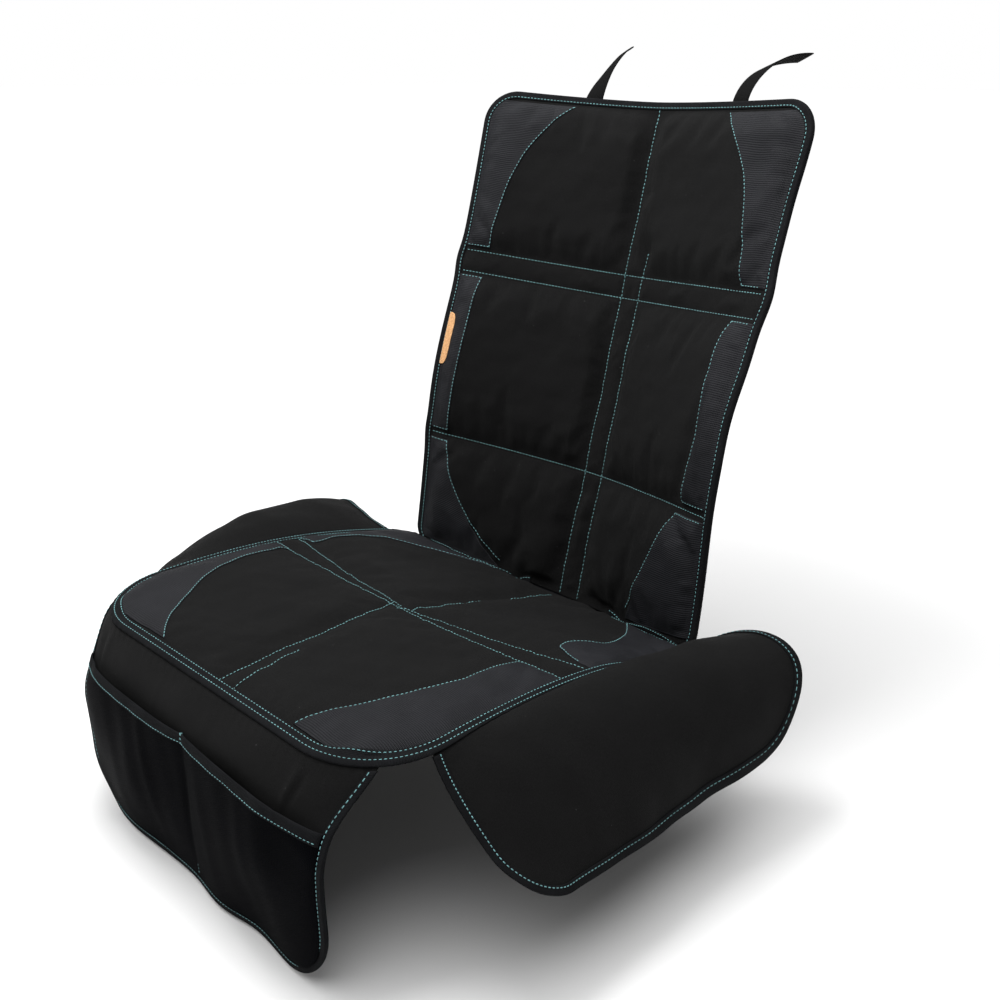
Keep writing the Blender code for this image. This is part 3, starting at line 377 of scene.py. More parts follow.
class Finish:
    """A procedural material, built from nodes that read the cloth's own flat coordinates, in metres."""

    def __init__(self, name, roughness, sheen=0.0, sheen_roughness=0.5, specular=0.05):
        self.material = bpy.data.materials.new(name)
        self.material.use_nodes = True
        self.tree = self.material.node_tree
        self.shader = self.tree.nodes["Principled BSDF"]
        self.shader.inputs["Roughness"].default_value = roughness
        self.shader.inputs["Sheen Weight"].default_value = sheen
        self.shader.inputs["Sheen Roughness"].default_value = sheen_roughness
        self.shader.inputs["Specular IOR Level"].default_value = specular
        flat = self.tree.nodes.new("ShaderNodeUVMap")
        flat.uv_map = "flat"
        self.flat = flat.outputs[0]
        parts = self.tree.nodes.new("ShaderNodeSeparateXYZ")
        self.tree.links.new(self.flat, parts.inputs[0])
        self.u, self.v = parts.outputs[0], parts.outputs[1]

    def node(self, kind, *values, **settings):
        """Adds a node and fills its sockets in order with numbers or with other nodes' outputs."""
        made = self.tree.nodes.new(kind)
        for key, value in settings.items():
            setattr(made, key, value)
        for socket, value in zip(made.inputs, values):
            if isinstance(value, bpy.types.NodeSocket):
                self.tree.links.new(value, socket)
            elif value is not None:
                socket.default_value = value
        return made.outputs[0]

    def math(self, operation, *values):
        """One sum on numbers."""
        return self.node("ShaderNodeMath", *values, operation=operation)

    def wave(self, across, pitch):
        """A sine wave along one coordinate."""
        return self.math("SINE", self.math("MULTIPLY", across, math.tau / pitch))

    def noise(self, size, detail=2.0):
        """Cloudy noise with grains of about this size, from 0 to 1."""
        return self.node("ShaderNodeTexNoise", self.flat, None, 1 / size, detail, noise_dimensions="2D")

    def hexagons(self, pitch):
        """A hexagonal pattern: the sum of three cosine waves, each turned by 60 degrees from the last."""
        total = None
        for turn in (0, 60, 120):
            way = math.radians(turn)
            along = self.math("MULTIPLY", self.u, math.cos(way))
            along = self.math("MULTIPLY_ADD", self.v, math.sin(way), along)
            wave = self.math("COSINE", self.math("MULTIPLY", along, math.tau / pitch))
            total = wave if total is None else self.math("ADD", total, wave)
        return total

    def ramp(self, value, low, high, start=0.0, end=1.0):
        """Straight from start to end as the value goes from low to high."""
        return self.node("ShaderNodeMapRange", value, low, high, start, end)

    def tint(self, share, low, high):
        """A colour between two colours."""
        mix = self.tree.nodes.new("ShaderNodeMix")
        mix.data_type = "RGBA"
        self.tree.links.new(share, mix.inputs[0])
        for socket, color in ((mix.inputs[6], low), (mix.inputs[7], high)):
            if isinstance(color, bpy.types.NodeSocket):
                self.tree.links.new(color, socket)
            else:
                socket.default_value = (*color, 1.0)
        return mix.outputs[2]

    def paint(self, color):
        """Uses this colour."""
        self.tree.links.new(color, self.shader.inputs["Base Color"])

    def rough(self, value):
        """Uses this roughness."""
        self.tree.links.new(value, self.shader.inputs["Roughness"])

    def emboss(self, *layers):
        """Stacks bumps, each given as (height from 0 to 1, depth in metres)."""
        last = None
        for height, depth in layers:
            bump = self.tree.nodes.new("ShaderNodeBump")
            bump.inputs["Distance"].default_value = depth
            bump.inputs["Strength"].default_value = 1.0
            self.tree.links.new(height, bump.inputs["Height"])
            if last is not None:
                self.tree.links.new(last, bump.inputs["Normal"])
            last = bump.outputs[0]
        self.tree.links.new(last, self.shader.inputs["Normal"])


def scaled(color, share):
    """A colour made lighter or darker."""
    return tuple(c * share for c in color)


def plain_weave(finish, pitch):
    """Height of a plain weave: the root of the product of two sine waves, one along each thread
    direction."""
    product = finish.math("MULTIPLY", finish.wave(finish.u, 2 * pitch), finish.wave(finish.v, 2 * pitch))
    return finish.math("POWER", finish.math("ABSOLUTE", product), 0.6)


def woven_cloth(name, color, pitch):
    """Black woven polyester: plain weave, faint dusty clouds and a few specks of lint."""
    finish = Finish(name, 0.75, sheen=0.01)
    weave = plain_weave(finish, pitch)
    clouds = finish.ramp(finish.noise(0.045, 4.0), 0.3, 0.7)
    grain = finish.ramp(finish.noise(0.0016), 0.3, 0.7)
    dusty = finish.tint(clouds, scaled(color, 0.86), scaled(color, 1.22))
    woven = finish.tint(finish.math("MULTIPLY", weave, grain), scaled(color, 0.45), dusty)
    lint = finish.ramp(finish.noise(0.0038, 1.0), 0.855, 0.875, 0.0, 0.5)
    finish.paint(finish.tint(lint, woven, (0.09, 0.09, 0.09)))
    finish.rough(finish.ramp(clouds, 0.0, 1.0, 0.68, 0.82))
    finish.emboss((finish.noise(0.012, 3.0), 0.0005), (weave, 0.00035))
    return finish.material


def under_cloth(name, color):
    """Backing cloth: black, with small raised grip dots in a hexagonal pattern."""
    finish = Finish(name, 0.6)
    dots = finish.ramp(finish.hexagons(0.0052), 0.9, 1.8)
    finish.paint(finish.tint(dots, scaled(color, 0.7), scaled(color, 1.9)))
    finish.rough(finish.ramp(dots, 0.0, 1.0, 0.85, 0.45))
    finish.emboss((plain_weave(finish, 0.0012), 0.0002), (dots, 0.0005))
    return finish.material


def add_mesh(name, points, faces, flat, finishes, kinds=None):
    """Puts whole arrays into a mesh: points, four-cornered faces, each point's flat coordinates as its UV,
    and which finish each face takes. Faces are turned round if the mesh encloses a negative volume."""
    points, faces, flat = points.reshape(-1, 3), np.asarray(faces).reshape(-1, 4), flat.reshape(-1, 2)
    a, b, c, d = (points[faces[:, k]] for k in range(4))
    if (a * np.cross(b, c)).sum() + (a * np.cross(c, d)).sum() < 0:
        faces = faces[:, ::-1]
    mesh = bpy.data.meshes.new(name)
    mesh.vertices.add(len(points))
    mesh.vertices.foreach_set("co", points.ravel())
    mesh.loops.add(faces.size)
    mesh.loops.foreach_set("vertex_index", faces.ravel())
    mesh.polygons.add(len(faces))
    mesh.polygons.foreach_set("loop_start", np.arange(0, faces.size, 4))
    for finish in finishes:
        mesh.materials.append(finish)
    if kinds is not None:
        mesh.polygons.foreach_set("material_index", kinds)
    mesh.update(calc_edges=True)
    mesh.uv_layers.new(name="flat").data.foreach_set("uv", flat[faces.ravel()].ravel())
    mesh.shade_smooth()
    piece = bpy.data.objects.new(name, mesh)
    bpy.context.scene.collection.objects.link(piece)
    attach(piece, "root")
    return piece


def slab(name, upper, lower, flat, finishes):
    """A closed sheet between two grids of points, with its rim joined. The underside takes the last
    finish."""
    rows, columns = upper.shape[:2]
    faces, _ = slab_faces(rows, columns)
    kinds = np.zeros(len(faces), int)
    kinds[(rows - 1) * (columns - 1):] = len(finishes) - 1
    return add_mesh(name, np.stack([upper, lower]), faces, np.stack([flat, flat]), finishes, kinds)


def even_lines(stations, pitch):
    """Grid lines through all the stations, with even steps of about a pitch between them."""
    stations = np.unique(np.round(stations, 6))
    spans = zip(stations[:-1], stations[1:])
    parts = [np.linspace(p, q, int(np.ceil((q - p) / pitch)) + 1) for p, q in spans]
    return np.unique(np.round(np.concatenate(parts), 7))


def merged(*parts):
    """All the grid lines of several rows in order, as one where two meet."""
    return np.unique(np.round(np.concatenate(parts), 5))


def panel_grid(rows, columns, half, end, low, high, left, right):
    """Flat coordinates of a panel's grid: outer columns drawn in round the corners, crease edge set
    back."""
    straight = JOINT_CENTRE + JOINT_HALF
    width = half_width(rows[:, None], end, half, low, high)
    share = np.clip(np.abs(columns) - straight, 0, None) / (half - straight)
    a = np.sign(columns) * (np.minimum(np.abs(columns), straight) + share * (width - straight))
    t = rows[:, None] * np.ones_like(columns)
    return a, t + gap_lens(a, half, low, left, right) * np.clip(1 - t / GAP_FADE, 0, 1) ** GAP_FADE_POWER


def round_rows(edge, radius, inward, count=14):
    """Places along a panel of the grid lines round its corners, evenly turned."""
    return edge + inward * radius * (1 - np.cos(np.linspace(0, np.pi / 2, count)))


half = BACK_WIDTH / 2
back_swell = swelling(
    back_middle, 1,
    even_lines([-half + SWELL_MARGIN, *SWELL_COLUMNS, half - SWELL_MARGIN], SWELL_PITCH),
    even_lines([SWELL_LOW, *BACK_FOLDS, BACK_HEIGHT - SWELL_MARGIN], SWELL_PITCH),
    lambda a, t: np.minimum.reduce(back_lines_away(a, t)), BACK_SWELL_SHARE,
)
GROOVE_STEPS = np.array([-0.006, -0.0036, -0.0018, 0, 0.0018, 0.0036, 0.006])
low_rows = round_rows(CREASE_CLEAR, BACK_LOW_RADIUS, 1)
high_rows = round_rows(BACK_HEIGHT, BACK_TOP_RADIUS, -1)
fold_rows = np.add.outer(BACK_FOLDS, GROOVE_STEPS).ravel()
back_rows = merged(low_rows, even_lines([low_rows[-1], *fold_rows, high_rows[-1]], GRID_PITCH), high_rows)
strip_columns = np.add.outer(STRIP_PLACES, GROOVE_STEPS).ravel()
back_columns = even_lines([-half, -half + TAPE_WIDTH, *strip_columns, half - TAPE_WIDTH, half], GRID_PITCH)
back_a, back_t = panel_grid(
    back_rows, back_columns, half, BACK_HEIGHT, BACK_LOW_RADIUS, BACK_TOP_RADIUS, GAP_BACK_LEFT,
    GAP_BACK_RIGHT,
)
back_a = back_a + side_bulge(back_a, back_t) * (back_a / half) ** 3
back_t = back_t - BACK_TUCK * back_tuck(back_a, back_t)
BACK = Cloth(back_middle, back_face, lambda a, t: pad_under(back_edge(a, t)))
cloth = woven_cloth("woven_cloth", CLOTH_BLACK, WEAVE_PITCH)
backing = under_cloth("grip_backing", CLOTH_BLACK)
back_flat = np.stack([back_a, back_t], -1)
back_sides = [BACK.at(back_a, back_t, side) for side in (1, -1)]
back_panel = slab("back_pad", *back_sides, back_flat, [cloth, backing])
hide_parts("back_panel")

# Seat panel: the same quilt, 512 by 505 mm flat. It lies on the cushion, crowned, with its rear drawn down
# into the crease. A fold sewn across its middle opens to a narrow band at each side, like a long flat V.
SEAT_WIDTH = 0.512
SEAM_TAPE_IN = 0.011
SEAT_DEPTH = 0.505
SEAT_TILT = math.radians(7.43)
SEAT_FRONT_RADIUS = 0.095
SEAT_REAR_RADIUS = 0.035
SEAT_CROWN_MIDDLE = 0.0155
SEAT_CROWN_SIDE = 0.026
SEAT_SINK_POWER = 1.4
SEAT_FALL_POWER = 1.2
SEAT_FOLD = 0.242
SEAT_FOLD_FRONT = 0.243
SEAT_FOLD_REAR = 0.240
SEAT_FOLD_REACH = 0.250
SEAT_LINES_MEET = 0.236
SEAT_LINE_PLACE = 0.004
SEAT_ROW_PITCH = 0.0026
SEAT_COLUMN_PITCH = 0.0030
SEAT_SWELL_SHARE = 0.5
SINK_DEPTH = 0.014
SINK_ALONG = 0.078
SINK_REACH = 0.060
CREASE_BACK = 0.0456
CREASE_REACH_SEAT = 0.12
GAP_SEAT_LEFT = 0.024
GAP_SEAT_RIGHT = 0.005
SEAT_FRONT_LINE = ((0.236, -0.020), (0.496, 0.012))
SEAT_REAR_LINE = ((0.0, 0.003), (0.130, 0.004), (0.215, 0.008), (0.236, 0.009))
FOLD_OPEN_LEFT = 0.031
FOLD_OPEN_RIGHT = 0.043
SEAT_CREASES = (
    (-14, 250, -60, 300, 10, -1.6), (10, 262, 60, 330, 14, 1.2), (-22, 300, -10, 470, 9, -1.5),
    (30, 400, 20, 300, 10, 1.2), (-10, 235, -90, 190, 14, 1.4), (16, 225, 90, 170, 14, 1.4),
    (-5, 200, -4, 60, 10, -1.5), (14, 210, 12, 80, 9, 1.2), (-120, 300, -60, 450, 22, 1.2),
    (110, 300, 80, 440, 22, 1.2), (-180, 250, -110, 246, 8, 1.2), (120, 232, 220, 218, 8, 1.4),
    (94, 8, 70, 60, 6, -1.8), (95, 8, 110, 60, 6, 1.6), (-56, 6, -80, 50, 6, -1.4), (-40, 8, -20, 60, 8, 1.0),
)


def seat_sink(a, t):
    """How far the seat panel's rear right side sinks behind the fold: a bell curve along it."""
    return SINK_DEPTH * smooth((a - 0.08) / 0.15) * np.exp(-(((t - SINK_ALONG) / SINK_REACH) ** 2))


def seat_middle(a, t):
    """Middle of the seat panel: a tilted plane with a sine crown, its middle hollowed and sunk to the
    crease."""
    a, t = np.broadcast_arrays(a, t)
    s = a / (SEAT_WIDTH / 2)
    x = np.clip(t / SEAT_DEPTH, 0, 1)
    side = SEAT_CROWN_SIDE * np.sin(np.pi * x ** (math.log(0.5) / math.log(SEAT_FOLD / SEAT_DEPTH)))
    rear = np.clip(t / SEAT_FOLD, 0, 1)
    front = np.clip((t - SEAT_FOLD) / (SEAT_DEPTH - SEAT_FOLD), 0, 1)
    behind = SEAT_CROWN_MIDDLE * rear - CREASE_DROP * (1 - rear) ** SEAT_SINK_POWER
    middle = np.where(t < SEAT_FOLD, behind, SEAT_CROWN_MIDDLE * (1 - front**SEAT_FALL_POWER))
    hollow = 1 - s**2
    y = CREASE_BACK * hollow * np.exp(-((t / CREASE_REACH_SEAT) ** 2)) - t * math.cos(SEAT_TILT)
    z = t * math.sin(SEAT_TILT) + side + (middle - side) * hollow - seat_sink(a, t)
    return np.stack([a, y, z], -1) + CREASE_FROM_LANDING


def fold_rear(a):
    """Where the fold's rear line lies along the seat: it leaves the front line evenly towards each side."""
    return SEAT_FOLD_REAR - np.where(a < 0, FOLD_OPEN_LEFT, FOLD_OPEN_RIGHT) * np.abs(a) / SEAT_FOLD_REACH


def seat_edge(a, t):
    """Distance to the seat panel's outline."""
    half = half_width(t, SEAT_DEPTH, SEAT_WIDTH / 2, SEAT_REAR_RADIUS, SEAT_FRONT_RADIUS)
    return np.minimum(half - np.abs(a), np.minimum(t - CREASE_CLEAR, SEAT_DEPTH - t))


def seat_lines_away(a, t):
    """Distances to each of the seat panel's sewn lines."""
    lines = [np.abs(t - SEAT_FOLD_FRONT), np.abs(t - fold_rear(a))]
    lines.append(np.where(t > SEAT_LINES_MEET, np.abs(a - line_at(SEAT_FRONT_LINE, t)), 1.0))
    lines.append(np.where(t <= SEAT_LINES_MEET, np.abs(a - line_at(SEAT_REAR_LINE, t)), 1.0))
    return lines


half = SEAT_WIDTH / 2
seat_swell = swelling(
    seat_middle, -1,
    even_lines([-half + SWELL_MARGIN, SEAT_LINE_PLACE, half - SWELL_MARGIN], SWELL_PITCH),
    even_lines([SWELL_LOW, SEAT_FOLD_FRONT, SEAT_DEPTH - SWELL_MARGIN], SWELL_PITCH),
    lambda a, t: np.minimum.reduce(seat_lines_away(a, t)), SEAT_SWELL_SHARE,
)


def seat_face(a, t):
    """Height of the seat panel's face."""
    return quilted(seat_edge(a, t), seat_lines_away(a, t), a, t, SEAT_CREASES, 23, seat_swell)


low_rows = round_rows(CREASE_CLEAR, SEAT_REAR_RADIUS, 1)
high_rows = round_rows(SEAT_DEPTH, SEAT_FRONT_RADIUS, -1, 30)
seat_rows = merged(low_rows, even_lines([low_rows[-1], high_rows[-1]], SEAT_ROW_PITCH), high_rows)
line_columns = SEAT_LINE_PLACE + GROOVE_STEPS
seat_columns = [-half, -half + SEAM_TAPE_IN, *line_columns, half - SEAM_TAPE_IN, half]
seat_columns = even_lines(seat_columns, SEAT_COLUMN_PITCH)
seat_a, seat_t = panel_grid(
    seat_rows, seat_columns, half, SEAT_DEPTH, SEAT_REAR_RADIUS, SEAT_FRONT_RADIUS, GAP_SEAT_LEFT,
    GAP_SEAT_RIGHT,
)
SEAT = Cloth(seat_middle, seat_face, lambda a, t: pad_under(seat_edge(a, t)), -1)
seat_flat = np.stack([seat_a, seat_t + 1.0], -1)
seat_sides = [SEAT.at(seat_a, seat_t, side) for side in (1, -1)]
seat_panel = slab("seat_pad", *seat_sides, seat_flat, [cloth, backing])
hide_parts("seat_panel")

# Patches: ten pieces of lighter ribbed cloth with turned-in edges, sewn flat on the corners and sides of
# both panels. Their outer edges go under the binding.
PATCH_THICKNESS = 0.0009
PATCH_LOW = 0.0004
PATCH_ROLL = 0.0014
PATCH_TUCKED = 0.003
PATCH_GAP_SHARE = 0.4
PATCH_GREY = (0.0106, 0.0109, 0.0127)
RIB_PITCH = 0.0024
BACK_PATCHES = {
    "upper_left": (-1, ((421, 202), (457, 197), (492, 191), (546, 174), (590, 145), (618, 116))),
    "upper_right": (1, ((420, 203), (471, 197), (529, 181), (587, 146), (618, 118))),
    "middle_left": (-1, ((163, 211), (381, 204))),
    "middle_right": (1, ((165, 195), (250, 205), (381, 206))),
    "lower_left": (-1, ((18, 103), (51, 152), (107, 196), (150, 210))),
    "lower_right": (1, ((22, 122), (42, 133), (93, 159), (151, 185))),
}
SEAT_PATCHES = {
    "front_left": (-1, ((241, 221), (325, 212), (380, 192), (438, 153), (476, 118), (492, 97))),
    "front_right": (1, ((242, 191), (322, 192), (382, 175), (434, 156), (492, 132))),
    "rear_left": (-1, ((34, 86), (51, 129), (76, 171), (108, 206), (146, 219), (201, 219), (206, 222))),
    "rear_right": (1, ((22, 137), (64, 174), (118, 192), (164, 183), (180, 186), (194, 226))),
}


def curve_through(x, xs, ys):
    """A smooth curve through points: cubic pieces whose slopes are harmonic means of the neighbours', so
    that straight stretches stay straight."""
    steps = np.diff(ys) / np.diff(xs)
    before, after = np.r_[steps[0], steps], np.r_[steps, steps[-1]]
    same = before * after > 0
    slopes = np.where(same, 2 * before * after / np.where(same, before + after, 1.0), 0.0)
    x = np.clip(x, xs[0], xs[-1])
    i = np.clip(np.searchsorted(xs, x, side="right") - 1, 0, len(xs) - 2)
    width = xs[i + 1] - xs[i]
    u = (x - xs[i]) / width
    ends = ys[i] * (1 + 2 * u) * (1 - u) ** 2 + ys[i + 1] * u**2 * (3 - 2 * u)
    return ends + slopes[i] * width * u * (1 - u) ** 2 + slopes[i + 1] * width * u**2 * (u - 1)


def patch_line(side, points, along, inset=0.0):
    """A patch's inner edge, or the sewn line a little inside it, at each height."""
    heights, places = (np.array(v, float) / 1000 for v in zip(*points))
    return side * (curve_through(along, heights, places) + inset)


def ribbed_cloth(name, color, pitch):
    """Ribbed cloth: rows of cords across it, the root of a sine wave, each crossed by finer threads."""
    finish = Finish(name, 0.6, specular=0.08)
    bowed = finish.math("MULTIPLY_ADD", finish.noise(0.09, 1.0), 0.012, finish.v)
    rib = finish.math("POWER", finish.math("ABSOLUTE", finish.wave(bowed, 2 * pitch)), 0.7)
    thread = finish.math("MULTIPLY_ADD", finish.wave(finish.u, 0.0011), 0.25, rib)
    clouds = finish.ramp(finish.noise(0.05, 3.0), 0.3, 0.7)
    soft = finish.tint(clouds, scaled(color, 0.9), scaled(color, 1.15))
    finish.paint(finish.tint(finish.ramp(thread, -0.1, 0.9), scaled(color, 0.5), soft))
    finish.emboss((thread, 0.0004))
    return finish.material


def add_patch(name, node, panel, shape, side, points, end_hidden, flat_shift, finish):
    """One patch: a grid between its inner edge and the binding, its free edges rolled down in quarter
    rounds."""
    end, half, low, high = shape
    start, stop = points[0][0] / 1000, points[-1][0] / 1000
    along = start + (stop - start) * (1 - np.cos(np.linspace(0, np.pi, 110))) / 2
    inner = np.abs(patch_line(side, points, along))
    covered = TAPE_WIDTH if panel is BACK else SEAM_TAPE_IN
    outer = half_width(along, end, half, low, high, covered - PATCH_TUCKED)
    if panel is BACK:
        outer = outer + side_bulge(np.full_like(along, side), along)
    outer = np.maximum(outer, inner + 0.002)
    share = np.linspace(0, 1, 32) ** 1.4
    away = (outer - inner)[:, None] * share
    a = side * (inner[:, None] + away)
    t = along[:, None] * np.ones_like(share)
    if panel is BACK:
        t = t - BACK_TUCK * back_tuck(a, t)
    else:
        fade = np.clip(1 - t / GAP_FADE, 0, 1) ** GAP_FADE_POWER
        t = t + PATCH_GAP_SHARE * gap_lens(a, half, low, GAP_SEAT_LEFT, GAP_SEAT_RIGHT) * fade
    before = t - start + (1.0 if end_hidden == "start" else 0)
    after = stop - t + (1.0 if end_hidden == "stop" else 0)
    free = np.minimum(away, np.minimum(before, after))
    x = np.clip(free / PATCH_ROLL, 0, 1)
    pressed = 0.3 + 0.7 * np.clip(((outer - inner)[:, None] - away) / PATCH_TUCKED, 0, 1)
    top = PATCH_LOW + PATCH_THICKNESS * np.sqrt(1 - (1 - x) ** 2) * pressed
    flat = np.stack([a, t + flat_shift], -1)
    patch = slab(name, panel.at(a, t, 1, top), panel.at(a, t, 1, 0.00005), flat, [finish])
    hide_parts(node)


ribs = ribbed_cloth("ribbed_patch_cloth", PATCH_GREY, RIB_PITCH)
BACK_SHAPE = (BACK_HEIGHT, BACK_WIDTH / 2, BACK_LOW_RADIUS, BACK_TOP_RADIUS)
SEAT_SHAPE = (SEAT_DEPTH, SEAT_WIDTH / 2, SEAT_REAR_RADIUS, SEAT_FRONT_RADIUS)
for place, (side, points) in BACK_PATCHES.items():
    hidden = {"upper": "stop", "middle": "", "lower": "start"}[place.split("_")[0]]
    add_patch("back_ribs_" + place, "back_patch_" + place, BACK, BACK_SHAPE, side, points, hidden, 0.0, ribs)
for place, (side, points) in SEAT_PATCHES.items():
    hidden = "stop" if place.startswith("front") else "start"
    add_patch("seat_ribs_" + place, "seat_patch_" + place, SEAT, SEAT_SHAPE, side, points, hidden, 1.0, ribs)

# Binding of the back panel: one woven tape, 8 mm wide on the face, folded round the panel's whole edge from
# one end of the crease joint to the other, and sewn through.
TAPE_THICKNESS = 0.0009
TAPE_CLEAR = 0.0006
RIM_STEP = 0.003
TAPE_BLACK = (0.0072, 0.0075, 0.0083)


def path_inward(a, t, inward):
    """Unit vectors square to a path of flat points, towards the cloth: its step turned by a quarter."""
    da, dt = np.gradient(a), np.gradient(t)
    length = np.hypot(da, dt)
    return -dt / length * inward, da / length * inward


def respaced(a, t, step):
    """A path of flat points, redrawn with even steps of its own length."""
    s = np.concatenate([[0], np.cumsum(np.hypot(np.diff(a), np.diff(t)))])
    even = np.linspace(0, s[-1], max(2, int(round(s[-1] / step)) + 1))
    return np.interp(even, s, a), np.interp(even, s, t)


def offset(a, t, inward, inset):
    """A path of flat points moved in by a distance."""
    ia, it = path_inward(a, t, inward)
    return a + ia * inset, t + it * inset


def loft(name, loops, lengths, finish):
    """A closed tube through a row of closed loops, capped at both ends. Its UV is (length along it, length
    round)."""
    count, corners = loops.shape[:2]
    index = np.arange(count * corners).reshape(count, corners)
    after = np.roll(index, -1, axis=1)
    sides = np.stack([index[:-1], after[:-1], after[1:], index[1:]], -1).reshape(-1, 4)
    k = np.arange(corners // 2 - 1)
    cap = np.stack([k, k + 1, corners - 2 - k, corners - 1 - k], -1)
    faces = np.concatenate([sides, cap[:, ::-1], cap + (count - 1) * corners])
    around = np.linalg.norm(np.diff(loops[count // 2], axis=0), axis=-1)
    around = np.concatenate([[0], np.cumsum(around)])
    flat = np.stack(np.broadcast_arrays(lengths[:, None], around), -1)
    return add_mesh(name, loops, faces, flat, [finish])


def woven_tape(name, color, pitch=0.0013):
    """Woven tape: small ribs across it, with a finer weave between them."""
    finish = Finish(name, 0.7, specular=0.03)
    rib = finish.math("ABSOLUTE", finish.wave(finish.u, 2 * pitch))
    weave = finish.math("MULTIPLY_ADD", finish.wave(finish.v, 0.0010), 0.3, rib)
    clouds = finish.ramp(finish.noise(0.03, 3.0), 0.3, 0.7)
    worn = finish.tint(clouds, scaled(color, 0.85), scaled(color, 1.3))
    finish.paint(finish.tint(finish.ramp(weave, 0.0, 1.0), scaled(color, 0.55), worn))
    finish.emboss((finish.noise(0.007, 2.0), 0.0004), (weave, 0.0003))
    return finish.material


def edge_tape(name, panel, a, t, inward, finish):
    """A tape folded round an edge: flat on the face, a half round past the edge, flat underneath, and
    back."""
    ia, it = path_inward(a, t, inward)

    def row(inset, side, extra):
        return panel.at(a + ia * inset, t + it * inset, side, extra)

    high = TAPE_CLEAR + TAPE_THICKNESS
    top, below = row(0, 1, high), row(0, -1, high)
    inner_edge = row(TAPE_WIDTH, 1, 0) - row(0, 1, 0)
    out = -inner_edge / np.linalg.norm(inner_edge, axis=-1, keepdims=True)
    centre, arm = (top + below) / 2, (top - below) / 2
    reach = np.linalg.norm(arm, axis=-1, keepdims=True) * 0.55
    turns = np.linspace(np.pi / 2, -np.pi / 2, 9)[1:-1]
    fold = [centre + arm * np.sin(turn) + out * reach * np.cos(turn) for turn in turns]
    face = [row(TAPE_WIDTH, 1, 0.0), row(TAPE_WIDTH, 1, high * 0.7), row(TAPE_WIDTH - 0.0005, 1, high)]
    face += [row(share * TAPE_WIDTH, 1, high) for share in (0.75, 0.5, 0.25)] + [top]
    back = [below, row(0.004, -1, high), row(TAPE_WIDTH - 0.0005, -1, high), row(TAPE_WIDTH, -1, 0.0)]
    inside = [row(0.001, -1, 0.0), row(0.001, 1, 0.0)]
    loops = np.stack([*face, *fold, *back, *inside], 1)
    lengths = np.concatenate([[0], np.cumsum(np.hypot(np.diff(a), np.diff(t)))])
    piece = loft(name, loops, lengths, finish)
    return piece


def panel_rim(a, t):
    """A panel's outline from the left end of the crease joint, up, across and down to the joint's right
    end."""
    low = a[0]
    left = np.nonzero(low < JOINT_CENTRE - JOINT_HALF + 0.006)[0][::-1]
    right = np.nonzero(low > JOINT_CENTRE + JOINT_HALF - 0.006)[0][::-1]
    rim_a = np.concatenate([low[left[:-1]], a[:, 0], a[-1, 1:-1], a[::-1, -1], low[right[1:]]])
    rim_t = np.concatenate([t[0][left[:-1]], t[:, 0], t[-1, 1:-1], t[::-1, -1], t[0][right[1:]]])
    return respaced(rim_a, rim_t, RIM_STEP)


tape = woven_tape("binding_tape", TAPE_BLACK)
back_rim = panel_rim(back_a, back_t)
back_binding = edge_tape("back_edge_tape", BACK, *back_rim, -1, tape)
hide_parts("back_binding")

# Sewing thread: thick teal thread, in stitches 3 mm long every 4.7 mm, each a little capsule whose ends dip
# into the cloth. It follows every fold, patch and tape.
STITCH_PITCH = 0.0047
STITCH_SHARE = 0.62
STITCH_HALF = 0.00050
STITCH_LIFT = 0.00030
THREAD_TEAL = (0.105, 0.245, 0.255)
ON_TAPE = TAPE_CLEAR + TAPE_THICKNESS
ON_PATCH = PATCH_LOW + PATCH_THICKNESS
STITCH_INSET = 0.0058


def thread_finish(name, color):
    """Dyed thread: lightly uneven in colour along its length, with twist ridges."""
    finish = Finish(name, 0.55, sheen=0.1, specular=0.3)
    shade = finish.ramp(finish.noise(0.02, 3.0), 0.3, 0.7)
    finish.paint(finish.tint(shade, scaled(color, 0.75), scaled(color, 1.25)))
    finish.emboss((finish.math("ABSOLUTE", finish.wave(finish.u, 0.0008)), 0.00012))
    return finish.material


